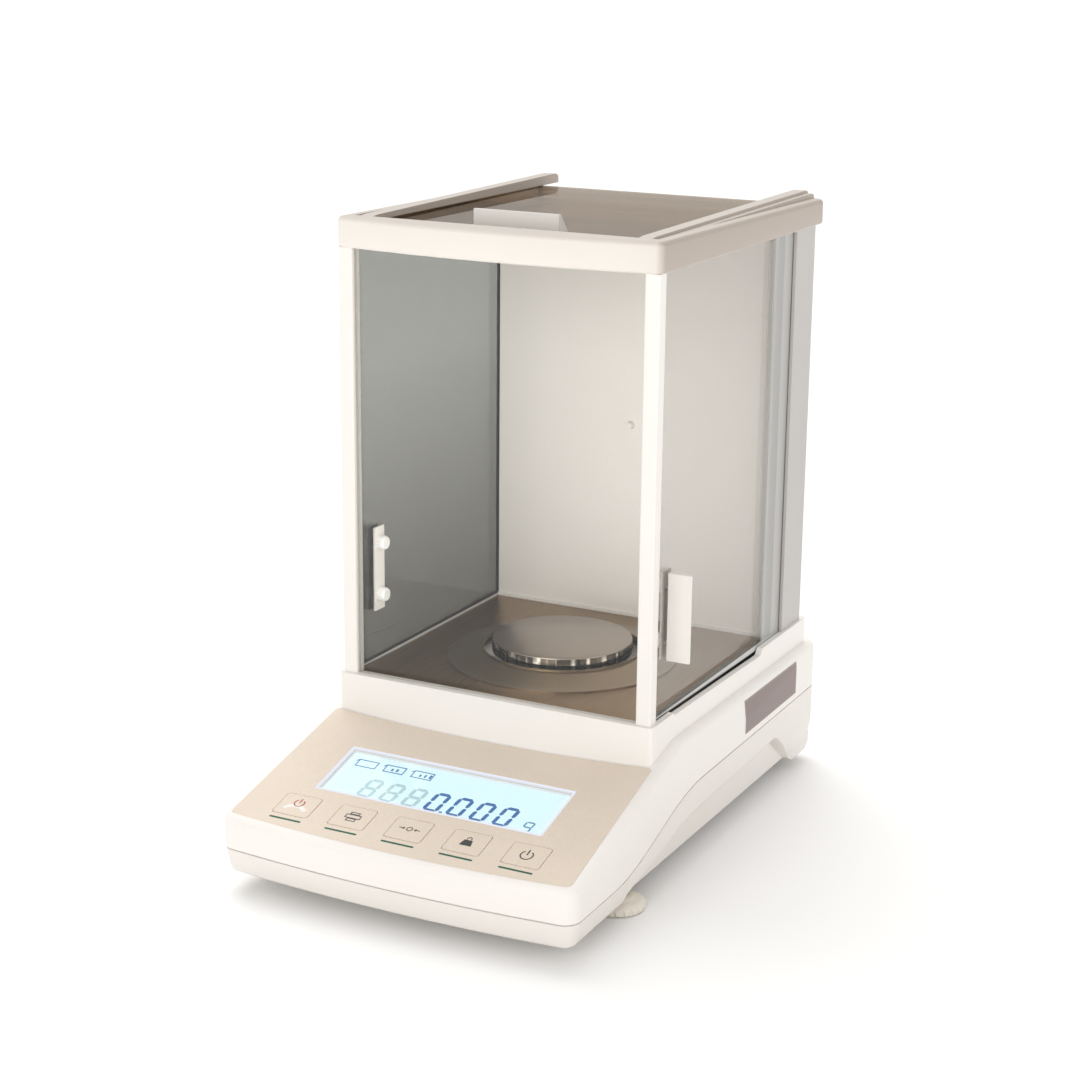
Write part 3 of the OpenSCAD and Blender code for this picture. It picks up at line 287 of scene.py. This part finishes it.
# brushed sheet: long scratches one way
def brushedSheet(name, look):
    shade = Shade(name)
    place = shade.place()
    stretched = shade.add("ShaderNodeMapping", inputs={"Vector": place, "Scale": look["stretch"]})
    scratch = shade.noise(stretched, 1.0, detail=5.0, rough=0.7)
    cloud = shade.noise(place, look["cloudScale"], detail=2.0)
    tone = shade.between(cloud * 0.5 + scratch * 0.5, look["light"], look["dark"])
    normal = shade.bump(scratch, look["depth"], look["scratchHeight"], Normal=shade.softEdge(look["edge"]))
    return shade.painted({
        "Base Color": tone, "Metallic": 1.0,
        "Roughness": look["roughness"] + look["roughSpread"] * (scratch - 0.5),
        "Anisotropic": 0.4, "Normal": normal})


# turned metal: fine rings about the pan's centre on top, and a rim below with painted reflections, dark and
# bright bands around it
def turnedMetal(name, look):
    shade = Shade(name)
    x, y, z = shade.axes(shade.place())
    across, along = x - look["centre"][0], y - look["centre"][1]
    away = (across ** 2.0 + along ** 2.0) ** 0.5
    line = shade.add("ShaderNodeCombineXYZ", inputs={0: away * look["rings"], 1: z * look["rings"]})
    ring = shade.noise(line, 1.0, detail=4.0, rough=0.7)
    circle = shade.add("ShaderNodeCombineXYZ", inputs={0: along.turnFrom(across) * look["reflectionBands"]})
    reflectionBand = shade.noise(circle, 1.0, detail=2.0, rough=0.6)
    # painted reflection: dark and bright bands around the rim
    glint = shade.ramp(reflectionBand, (0.50, look["rimDarkReflection"]), (0.60, look["rimBrightReflection"]))
    onTop = ((z - look["rimTop"]) * look["sharpness"]).clamped()
    tone = shade.between(onTop, glint, shade.between(ring, look["light"], look["dark"]))
    rough = onTop * look["roughness"] + (1.0 - onTop) * look["rimRoughness"]
    return shade.painted({"Base Color": tone, "Metallic": 1.0,
                          "Roughness": rough + look["roughSpread"] * (ring - 0.5)})


floorLook = toned({"stretch": (1500.0, 18.0, 400.0), "cloudScale": 30.0, "roughness": 0.30,
                   "roughSpread": 0.22, "depth": 0.16, "scratchHeight": 0.1 * mm, "edge": 0.3 * mm},
                  (0.33, 0.21, 0.105), (0.22, 0.14, 0.068))
plainLook = toned(floorLook, (0.66, 0.65, 0.63), (0.55, 0.54, 0.52), stretch=(400.0, 400.0, 60.0))
milledLook = toned(floorLook, (0.76, 0.77, 0.78), (0.66, 0.67, 0.68), stretch=(90.0, 900.0, 90.0))
ironLook = toned(floorLook, (0.20, 0.20, 0.21), (0.13, 0.13, 0.14), roughness=0.5)
brassLook = toned(floorLook, (0.72, 0.55, 0.26), (0.60, 0.44, 0.20), stretch=(90.0, 90.0, 2400.0))
copperLook = toned(floorLook, (0.74, 0.36, 0.20), (0.50, 0.22, 0.11), stretch=(60.0, 60.0, 5200.0),
                   depth=0.6)
panLook = toned({"centre": (0.0, (83.5 - frontShift) * mm), "rings": 380.0, "reflectionBands": 5.0,
                 "sharpness": 4000.0, "roughness": 0.31, "roughSpread": 0.04, "rimTop": 101.3 * mm,
                 "rimRoughness": 0.07, "rimDarkReflection": colour(0.07, 0.055, 0.04),
                 "rimBrightReflection": colour(0.72, 0.66, 0.58)},
                (0.44, 0.385, 0.34), (0.38, 0.33, 0.285))
ringLook = toned(panLook, (0.36, 0.28, 0.20), (0.27, 0.205, 0.14), rimRoughness=0.31, rimTop=0.0)
floorSteel = brushedSheet("brushedFloor", floorLook)
plainSteel = brushedSheet("brushedSteel", plainLook)
aluminium = brushedSheet("milledAluminium", milledLook)
darkIron = brushedSheet("darkIron", ironLook)
turnedBrass = brushedSheet("turnedBrass", brassLook)
copper = brushedSheet("woundCopper", copperLook)
panSteel = turnedMetal("turnedPan", panLook)
ringSteel = turnedMetal("turnedRing", ringLook)
print("metals mixed")

# the console's own frame: u across, v up the slope with 0 at the deck's wall, w out of the surface
console = {"tilt": math.radians(14.7), "foot": Vector((0.0, (-1.7 - frontShift) * mm, 69.9 * mm)),
           "filmTop": -0.1, "windowMiddle": -51.7, "windowSize": (135.0, 40.4),
           "keyRow": -88.7, "keyPitch": 33.8}


def onConsole(u, v, w):
    rise, run = math.sin(console["tilt"]), math.cos(console["tilt"])
    return console["foot"] + Vector((u, v * run - w * rise, v * rise + w * run)) * mm


def onDisplay(u, v, w):
    return onConsole(u, v + console["windowMiddle"], w)


# how far a point lies inside the window's edge, in millimetres
def insideWindow(shade):
    x, y, z = shade.axes(shade.place())
    tilt, foot = console["tilt"], console["foot"]
    climb = (y - foot.y) * math.cos(tilt) + (z - foot.z) * math.sin(tilt)
    fromSide = console["windowSize"][0] * mm / 2 - abs(x)
    fromEnd = console["windowSize"][1] * mm / 2 - abs(climb - console["windowMiddle"] * mm)
    return fromSide.smaller(fromEnd) * (1 / mm)


# backlit panel: paler and faintly violet towards its edges
def litPanel(name, look):
    shade = Shade(name)
    inwards = insideWindow(shade) * (1 / look["glowWidth"])
    tone = shade.ramp(inwards, (0.0, look["rim"]), (look["haloAt"], look["halo"]), (1.0, look["middle"]))
    return shade.painted({
        "Base Color": tone * look["unlit"], "Roughness": 0.35,
        "Emission Color": tone, "Emission Strength": look["strength"]})


panelLook = {"rim": colour(0.84, 0.86, 1.0), "halo": colour(0.78, 0.93, 1.0), "haloAt": 0.35,
             "middle": colour(0.72, 0.95, 0.98), "glowWidth": 7.0, "unlit": 0.12, "strength": 1.0}
litDisplay = litPanel("litDisplay", panelLook)


# the window over the panel: its edge carries a painted glow, an emission standing in for backlight leaking
# into it, over the gap's shade
def windowSheet(name, look):
    shade = Shade(name)
    edge = (look["rimWidth"] - insideWindow(shade)) * (1 / look["rimBlur"])
    share = shade.slant() * look["mirror"]
    glass = shade.mixed(share, shade.clear(look["tint"]), shade.mirror(look["sheen"]))
    # painted light: the glow on the window's edge
    glow = shade.add("ShaderNodeEmission", inputs={"Color": look["rim"], "Strength": look["strength"]})
    return shade.done(shade.mixed(edge.clamped(), glass, glow))


windowLook = {"tint": colour(0.99, 0.995, 0.995), "sheen": clearLook["sheen"], "mirror": 0.12,
              "rimWidth": 1.7, "rimBlur": 0.9, "rim": colour(0.86, 0.90, 1.0), "strength": 0.98}
windowGlass = windowSheet("displayWindow", windowLook)


# ink printed on film or glass, with slightly uneven cover
def ink(name, look):
    shade = Shade(name)
    cover = shade.noise(shade.place(), look["coverScale"], detail=2.0)
    tone = shade.between(cover, look["light"], look["dark"])
    return shade.painted({"Base Color": tone, "Roughness": look["roughness"]})


inkLook = {"coverScale": 3000.0, "roughness": 0.5}
segmentInk = ink("segmentBlue", toned(inkLook, (0.05, 0.19, 0.52), (0.04, 0.16, 0.45), roughness=0.4))
ghostInk = ink("restingSegment", toned(inkLook, (0.56, 0.76, 0.82), (0.54, 0.74, 0.80)))
unitInk = ink("unitBlue", toned(inkLook, (0.16, 0.36, 0.58), (0.14, 0.32, 0.54), roughness=0.4))
charcoalInk = ink("charcoalInk", toned(inkLook, (0.07, 0.075, 0.075), (0.05, 0.05, 0.05)))
greenInk = ink("greenInk", toned(inkLook, (0.03, 0.13, 0.085), (0.02, 0.10, 0.065)))
redInk = ink("redInk", toned(inkLook, (0.45, 0.09, 0.06), (0.38, 0.07, 0.05)))
paleInk = ink("paleInk", toned(inkLook, (0.84, 0.83, 0.80), (0.80, 0.79, 0.76)))


# circuit board: green lacquer over a faint grid of tracks
def circuitBoard(name, look):
    shade = Shade(name)
    tracks = shade.add("ShaderNodeTexBrick", inputs={
        "Scale": look["trackScale"], "Color1": look["dark"], "Color2": look["light"],
        "Mortar": look["track"], "Mortar Size": look["trackWidth"]})
    return shade.painted({"Base Color": tracks, "Roughness": 0.35, "Coat Weight": 0.3})


boardLook = toned({"track": colour(0.05, 0.28, 0.15), "trackScale": 60.0, "trackWidth": 0.03},
                  (0.035, 0.19, 0.10), (0.03, 0.16, 0.08))
board = circuitBoard("circuitBoard", boardLook)
print("display, inks and boards mixed")


# joins the frame's split faces for shading only, and keeps real edges crisp
def shadingTool(look):
    group = bpy.data.node_groups.new("crispShading", "GeometryNodeTree")
    for way in ("INPUT", "OUTPUT"):
        group.interface.new_socket("Geometry", in_out=way, socket_type="NodeSocketGeometry")

    def make(kind, **settings):
        made = group.nodes.new(kind)
        for key, value in settings.items():
            setattr(made, key, value)
        return made

    start, end = make("NodeGroupInput"), make("NodeGroupOutput")
    joined = make("GeometryNodeMergeByDistance")
    joined.inputs["Distance"].default_value = look["joinWithin"]
    angle = make("GeometryNodeInputMeshEdgeAngle")
    flat = make("FunctionNodeCompare", data_type="FLOAT", operation="LESS_THAN")
    flat.inputs[1].default_value = look["crispFrom"]
    clean = make("GeometryNodeRemoveAttribute")
    clean.inputs["Name"].default_value = "custom_normal"
    faces = make("GeometryNodeSetShadeSmooth", domain="FACE")
    edges = make("GeometryNodeSetShadeSmooth", domain="EDGE")
    chain = [start, joined, clean, faces, edges, end]
    for before, after in zip(chain, chain[1:]):
        group.links.new(before.outputs[0], after.inputs[0])
    group.links.new(angle.outputs["Unsigned Angle"], flat.inputs[0])
    group.links.new(flat.outputs[0], edges.inputs["Shade Smooth"])
    return group


crispShading = shadingTool({"joinWithin": 0.002 * mm, "crispFrom": math.radians(32)})


def dress(names, material):
    for name in names.split():
        part = nodes[name]
        part.data.materials.clear()
        part.data.materials.append(material)
        part.modifiers.new("crispShading", "NODES").node_group = crispShading


dress("cap_frame", capShell)
dress("lower_housing", trayShell)
dress("upper_housing front_left_post front_right_post rear_wall back_panel wall_plug", shell)
dress("rear_left_post rear_right_post rear_left_cover rear_right_cover", shadedShell)
dress("left_door_grip right_door_grip left_door_backing right_door_backing top_door_grip", shell)
dress("panel_film key_1 key_2 key_3 key_4 key_5", film)
dress("front_pane", clearGlass)
dress("right_door_pane", rightGlass)
dress("left_door_pane", shadedPaneGlass)
dress("top_door_pane", hatchGlass)
dress("display_window", windowGlass)
dress("display_module", litDisplay)
dress("chamber_floor", floorSteel)
dress("weighing_pan", panSteel)
dress("draft_ring", ringSteel)
dress("case_screws shield_screws serial_port", plainSteel)
dress("cell_frame guide_arms pan_carrier lever_beam", aluminium)
dress("magnet_pot", darkIron)
dress("coil", copper)
dress("foot_inserts", turnedBrass)
dress("display_board main_board", board)
dress("key_switches power_jack", blackPlastic)
dress("rear_feet left_foot_pad right_foot_pad", blackRubber)
dress("left_door_runner right_door_runner", runnerPlastic)
dress("left_door_edge right_door_edge", greyStrip)
dress("left_door_nuts right_door_nuts", nylon)
dress("left_foot_wheel right_foot_wheel", creamWheel)
print("frame dressed")


def linked(name, mesh, material):
    data = bpy.data.meshes.new(name)
    mesh.to_mesh(data)
    mesh.free()
    data.materials.append(material)
    piece = bpy.data.objects.new(name, data)
    bpy.context.scene.collection.objects.link(piece)
    return piece


# flat marks: each outline becomes a thin plate, from low to high over the surface that place() describes
def printed(name, outlines, place, low, high, material, body):
    mesh = bmesh.new()
    for outline in outlines:
        below = [mesh.verts.new(place(u, v, low)) for u, v in outline]
        above = [mesh.verts.new(place(u, v, high)) for u, v in outline]
        mesh.faces.new(above)
        mesh.faces.new(below[::-1])
        for i in range(len(outline)):
            j = (i + 1) % len(outline)
            mesh.faces.new((below[i], below[j], above[j], above[i]))
    bmesh.ops.recalc_face_normals(mesh, faces=mesh.faces)
    piece = linked(name, mesh, material)
    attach(piece, body)


def bar(x0, x1, y0, y1):
    return [(x0, y0), (x1, y0), (x1, y1), (x0, y1)]


def boxLine(x0, x1, y0, y1, width):
    return [bar(x0, x1, y0, y0 + width), bar(x0, x1, y1 - width, y1),
            bar(x0, x0 + width, y0 + width, y1 - width), bar(x1 - width, x1, y0 + width, y1 - width)]


def onCircle(cx, cy, radius, degrees):
    a = math.radians(degrees)
    return (cx + radius * math.cos(a), cy + radius * math.sin(a))


def roundedBar(x0, x1, y0, y1, radius, steps=5):
    corners = ((x1 - radius, y0 + radius, -90), (x1 - radius, y1 - radius, 0),
               (x0 + radius, y1 - radius, 90), (x0 + radius, y0 + radius, 180))
    return [onCircle(cx, cy, radius, start + 90 * i / steps)
            for cx, cy, start in corners for i in range(steps + 1)]


# an arc of a ring, cut into short wedges so that every outline stays simple
def arc(cx, cy, radius, width, start, end, steps=18):
    wedges = []
    inner, outer = radius - width / 2, radius + width / 2
    for i in range(steps):
        a, b = (start + (end - start) * k / steps for k in (i, i + 1))
        wedges.append([onCircle(cx, cy, inner, a), onCircle(cx, cy, outer, a),
                       onCircle(cx, cy, outer, b), onCircle(cx, cy, inner, b)])
    return wedges


# an arrow along u: towards is 1 for one that points right, -1 for left
def arrow(x, y, length, width, head, towards):
    tip, tail = x + towards * length / 2, x - towards * length / 2
    neck = tip - towards * head
    spread = head * 0.7
    return [bar(tail, neck, y - width / 2, y + width / 2),
            [(neck, y - spread), (tip, y), (neck, y + spread)]]


# seven-bar digits, leaning forward; a small one that lacks its lower left bar is the unit
digits = {"height": 16.5, "width": 9.2, "stroke": 2.1, "gap": 0.18, "lean": 0.10, "pitch": 13.5,
          "firstMiddle": 0.9, "rowMiddle": -9.6, "shown": 4, "resting": 3, "low": -1.68, "high": -1.52}
unit = {**digits, "height": 9.0, "width": 5.4, "stroke": 0.9, "gap": 0.08, "middle": 56.0, "drop": 4.4}
ghost = {"low": -1.69, "high": -1.58}
point = {"left": -1.8, "width": 1.8, "low": -8.2, "high": -6.5}
segmentsOf = {"0": "abcdef", "8": "abcdefg", "9": "abcdfg"}


def digitOutlines(letters, x, y, look):
    h, w, s, g = look["height"], look["width"], look["stroke"], look["gap"]
    low, high, left, right = (s - h) / 2, (h - s) / 2, (s - w) / 2, (w - s) / 2

    # a bar with pointed ends, as steps along its own line and out of it
    def pointed(start, end):
        return [(start + g, 0), (start + g + s / 2, s / 2), (end - g - s / 2, s / 2),
                (end - g, 0), (end - g - s / 2, -s / 2), (start + g + s / 2, -s / 2)]

    def level(v):
        return [(along, v + out) for along, out in pointed(left, right)]

    def upright(u, v0, v1):
        return [(u + out, along) for along, out in pointed(v0, v1)]

    shapes = {"a": level(high), "d": level(low), "g": level(0.0), "b": upright(right, 0.0, high),
              "c": upright(right, low, 0.0), "f": upright(left, 0.0, high), "e": upright(left, low, 0.0)}
    return [[(x + u + look["lean"] * v, y + v) for u, v in shapes[k]] for k in letters]


def digitRow(letters, places):
    return [outline for i in places for outline in digitOutlines(
        letters, digits["firstMiddle"] + i * digits["pitch"], digits["rowMiddle"], digits)]


pointX = digits["firstMiddle"] + digits["pitch"] / 2 + point["left"]
pointBar = bar(pointX, pointX + point["width"], digits["rowMiddle"] + point["low"],
               digits["rowMiddle"] + point["high"])
lit = digitRow(segmentsOf["0"], range(digits["shown"])) + [pointBar]
unitSign = digitOutlines(segmentsOf["9"], unit["middle"], digits["rowMiddle"] - unit["drop"], unit)
resting = digitRow(segmentsOf["8"], range(-digits["resting"], 0))
printed("lcdDigits", lit, onDisplay, digits["low"], digits["high"], segmentInk, "base")
printed("lcdUnit", unitSign, onDisplay, unit["low"], unit["high"], unitInk, "base")
printed("lcdRestingDigits", resting, onDisplay, ghost["low"], ghost["high"], ghostInk, "base")

# three small boxes with level marks along the top of the display, each with a flag at its left
boxRow = {"left": -59.0, "pitch": 17.2, "width": 12.4, "height": 6.2, "rowMiddle": 9.5, "line": 0.55,
          "marks": (0, 2, 3), "low": -1.68, "high": -1.54}
boxMark = {"left": 4.4, "pitch": 3.0, "width": 1.1, "foot": -1.5, "top": 0.4, "growth": 0.5}
boxFlag = [(-1.6, 1.2), (0.2, 3.1), (0.2, 2.2), (-0.9, 1.2)]
boxes = []
for i, marks in enumerate(boxRow["marks"]):
    x0, middle, half = boxRow["left"] + i * boxRow["pitch"], boxRow["rowMiddle"], boxRow["height"] / 2
    boxes += boxLine(x0, x0 + boxRow["width"], middle - half, middle + half, boxRow["line"])
    boxes.append([(x0 + u, middle + v) for u, v in boxFlag])
    for k in range(marks):
        markX = x0 + boxMark["left"] + k * boxMark["pitch"]
        boxes.append(bar(markX, markX + boxMark["width"], middle + boxMark["foot"],
                         middle + boxMark["top"] + boxMark["growth"] * k))
printed("lcdBoxes", boxes, onDisplay, boxRow["low"], boxRow["high"], segmentInk, "base")
print("display drawn")


keyX = [(i - 2) * console["keyPitch"] for i in range(5)]


def onKey(i):
    return lambda u, v, w: onConsole(keyX[i] + u, console["keyRow"] + v, w)


# key signs: an arch and a power ring, a sheet leaving a printer, arrows to zero, a weight, a power ring
line = 0.55
arch = arc(0, -8.2, radius=7.6, width=2.4, start=35, end=145)
redRing = arc(0, 2.0, radius=2.8, width=line * 1.2, start=-230, end=50)
redStem = bar(-line * 0.6, line * 0.6, 2.0, 5.6)
printer = boxLine(-4.6, 4.6, -1.0, 2.2, line)
paper = boxLine(-2.8, 2.8, -3.4, -1.0, line) + boxLine(-2.8, 2.8, 2.2, 4.2, line)
zero = arc(0, 0.6, radius=1.5, width=line, start=0, end=360)
arrows = [outline for side in (-1, 1)
          for outline in arrow(4.2 * side, 0.6, length=3.6, width=line, head=1.5, towards=-side)]
weight = [[(-3.4, -2.6), (3.4, -2.6), (2.3, 2.0), (-2.3, 2.0)]]
weightLoop = arc(0, 3.0, radius=1.2, width=line, start=-30, end=210)
powerRing = arc(0, 0.2, radius=3.3, width=line * 1.3, start=-235, end=55)
powerStem = bar(-0.4, 0.4, 0.4, 4.6)
keySigns = [
    {"name": "keyOneArch", "key": 0, "shape": arch, "ink": paleInk, "high": 0.05},
    {"name": "keyOneSign", "key": 0, "shape": redRing + [redStem], "ink": redInk, "high": 0.07},
    {"name": "keyTwoSign", "key": 1, "shape": printer + paper, "ink": charcoalInk, "high": 0.05},
    {"name": "keyThreeSign", "key": 2, "shape": zero + arrows, "ink": charcoalInk, "high": 0.05},
    {"name": "keyFourSign", "key": 3, "shape": weight + weightLoop, "ink": charcoalInk, "high": 0.05},
    {"name": "keyFiveSign", "key": 4, "shape": powerRing + [powerStem], "ink": charcoalInk, "high": 0.05},
]
for sign in keySigns:
    printed(sign["name"], sign["shape"], onKey(sign["key"]), 0.0, sign["high"], sign["ink"],
            "key_%d_body" % (sign["key"] + 1))

# a green bar on the film below each key
keyBar = {"drop": 12.4, "width": 19.0, "height": 1.3, "corner": 0.3, "sink": 0.02, "rise": 0.04}
for i, x in enumerate(keyX):
    across, up, middle = keyBar["width"] / 2, keyBar["height"] / 2, console["keyRow"] - keyBar["drop"]
    shape = roundedBar(x - across, x + across, middle - up, middle + up, keyBar["corner"])
    printed("keyBar%d" % (i + 1), [shape], onConsole, console["filmTop"] - keyBar["sink"],
            console["filmTop"] + keyBar["rise"], greenInk, "base")
print("keys marked")

# the ray that finds the right flank: it starts outside the part and looks inwards
flankRay = {"from": 200 * mm, "reach": 110 * mm, "whenMissed": 100 * mm}


def flankX(y, z):
    for name in ("upper_housing", "lower_housing"):
        flank = nodes[name]
        back = flank.matrix_world.inverted()
        start, inwards = back @ Vector((flankRay["from"], y, z)), back.to_3x3() @ Vector((-1.0, 0.0, 0.0))
        hit, place, normal, face = flank.ray_cast(start, inwards, distance=flankRay["reach"])
        if hit:
            return (flank.matrix_world @ place).x
    return flankRay["whenMissed"]


# plain sticker on the right flank: a grid of points laid on the flank's own surface
def sticker(name, look, material):
    mesh = bmesh.new()
    across, up = look["across"], look["up"]

    def grid(out):
        rows = []
        for k in range(up + 1):
            z = (look["low"] + (look["high"] - look["low"]) * k / up) * mm
            rows.append([])
            for i in range(across + 1):
                y = (look["front"] + (look["rear"] - look["front"]) * i / across) * mm
                rows[k].append(mesh.verts.new(Vector((flankX(y, z) + out * mm, y, z))))
        return rows

    inner, outer = grid(look["lift"]), grid(look["lift"] + look["thick"])
    for k in range(up):
        for i in range(across):
            corners = [(k, i), (k, i + 1), (k + 1, i + 1), (k + 1, i)]
            mesh.faces.new([outer[m][n] for m, n in corners])
            mesh.faces.new([inner[m][n] for m, n in reversed(corners)])
    rim = [(0, i) for i in range(across)] + [(k, across) for k in range(up)]
    rim += [(up, i) for i in range(across, 0, -1)] + [(k, 0) for k in range(up, 0, -1)]
    for (k, i), (m, n) in zip(rim, rim[1:] + rim[:1]):
        mesh.faces.new([inner[k][i], inner[m][n], outer[m][n], outer[k][i]])
    bmesh.ops.recalc_face_normals(mesh, faces=mesh.faces)
    piece = linked(name, mesh, material)
    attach(piece, "base")


# its paper: one blank tone inside a paler border
def stickerPaper(name, look):
    shade = Shade(name)
    place = shade.place()
    x, y, z = shade.axes(place)
    cover = shade.noise(place, look["coverScale"], detail=2.0)
    fromEnd = (y - look["front"] * mm).smaller(look["rear"] * mm - y)
    fromSide = (z - look["low"] * mm).smaller(look["high"] * mm - z)
    inwards = fromEnd.smaller(fromSide) * (1 / mm)
    border = ((look["border"] - inwards) * look["sharpness"]).clamped()
    tone = shade.between(border, shade.between(cover, look["light"], look["dark"]), look["edgeTone"])
    return shade.painted({"Base Color": tone, "Roughness": look["roughness"] + look["roughSpread"] * cover})


plate = toned({"front": 55.0, "rear": 134.5, "low": 51.5, "high": 71.0, "thick": 0.3, "lift": -0.02,
               "across": 12, "up": 6, "border": 0.8, "sharpness": 6.0, "edgeTone": colour(0.30, 0.24, 0.22),
               "coverScale": 2500.0, "roughness": 0.33, "roughSpread": 0.08},
              (0.235, 0.18, 0.165), (0.20, 0.15, 0.14))
sticker("sidePlate", plate, stickerPaper("plateGrey", plate))
print("plate set")


# the floor of the studio, nearly white
def floorPaint(name, look):
    shade = Shade(name)
    speck = shade.noise(shade.place(), look["speckScale"], detail=3.0)
    return shade.done(shade.add("ShaderNodeBsdfDiffuse", inputs={
        "Color": shade.between(speck, look["light"], look["dark"]), "Roughness": 0.2}))


def stagePlane(name, look):
    mesh = bmesh.new()
    bmesh.ops.create_grid(mesh, x_segments=2, y_segments=2, size=look["halfSize"])
    linked(name, mesh, floorPaint(name, look))


studioFloor = toned({"halfSize": 30.0, "speckScale": 3.0}, (0.95, 0.95, 0.95), (0.93, 0.93, 0.93))
stagePlane("studioFloor", studioFloor)

# lamps: gleam says whether a lamp itself shows in glass and metal; a sun's spread is its angle
middle = (0.0, 0.0, 0.15)
lights = [
    {"name": "keyLight", "kind": "SUN", "at": (-0.55, 0.62, 1.55), "towards": middle,
     "spread": math.radians(48), "power": 1.6, "tint": (1.0, 0.99, 0.97), "gleam": False},
    {"name": "frontLight", "kind": "AREA", "at": (0.10, -1.95, 0.60), "towards": middle,
     "spread": 1.1, "power": 8.5, "tint": (1.0, 0.98, 0.95), "gleam": True},
    {"name": "sideLight", "kind": "AREA", "at": (1.70, -0.50, 0.50), "towards": middle,
     "spread": 1.2, "power": 4.0, "tint": (1.0, 0.96, 0.92), "gleam": True},
    {"name": "chamberLight", "kind": "AREA", "at": (0.0, -0.048, 0.185), "towards": (0.0, 0.12, 0.18),
     "spread": 0.16, "power": 0.085, "tint": (1.0, 0.98, 0.95), "gleam": False},
]
for lamp in lights:
    data = bpy.data.lights.new(lamp["name"], lamp["kind"])
    setattr(data, "angle" if lamp["kind"] == "SUN" else "size", lamp["spread"])
    data.energy = lamp["power"]
    data.color = lamp["tint"]
    made = bpy.data.objects.new(lamp["name"], data)
    made.location = lamp["at"]
    made.visible_glossy = lamp["gleam"]
    aim = Vector(lamp["towards"]) - Vector(lamp["at"])
    made.rotation_euler = aim.to_track_quat("-Z", "Y").to_euler()
    bpy.context.scene.collection.objects.link(made)

surround = {"tint": colour(1.0, 0.99, 0.98), "strength": 0.76}
world = bpy.data.worlds.new("studioWorld")
bpy.context.scene.world = world
world.use_nodes = True
background = world.node_tree.nodes["Background"]
background.inputs["Color"].default_value = surround["tint"]
background.inputs["Strength"].default_value = surround["strength"]
bpy.context.scene.view_settings.view_transform = "Standard"
print("studio lit")

# the camera stands where the photograph was taken from
camera = {"at": (0.5460, -1.06115, 0.4983), "yaw": 27.32, "pitch": -15.61, "roll": 0.56, "lens": 75.03,
          "sensor": 36.0, "near": 0.01, "far": 100.0}
yaw, pitch, roll = (math.radians(camera[k]) for k in ("yaw", "pitch", "roll"))
forward = Vector((-math.sin(yaw) * math.cos(pitch), math.cos(yaw) * math.cos(pitch), math.sin(pitch)))
right = forward.cross(Vector((0, 0, 1))).normalized()
up = right.cross(forward)
side = right * math.cos(roll) + up * math.sin(roll)
top = up * math.cos(roll) - right * math.sin(roll)
lensData = bpy.data.cameras.new("photoCamera")
lensData.lens = camera["lens"]
lensData.sensor_width = camera["sensor"]
lensData.clip_start = camera["near"]
lensData.clip_end = camera["far"]
photoCamera = bpy.data.objects.new("photoCamera", lensData)
turn = Matrix((side, top, -forward)).transposed().to_4x4()
photoCamera.matrix_world = Matrix.Translation(Vector(camera["at"])) @ turn
bpy.context.scene.collection.objects.link(photoCamera)
bpy.context.scene.camera = photoCamera
print("camera set")
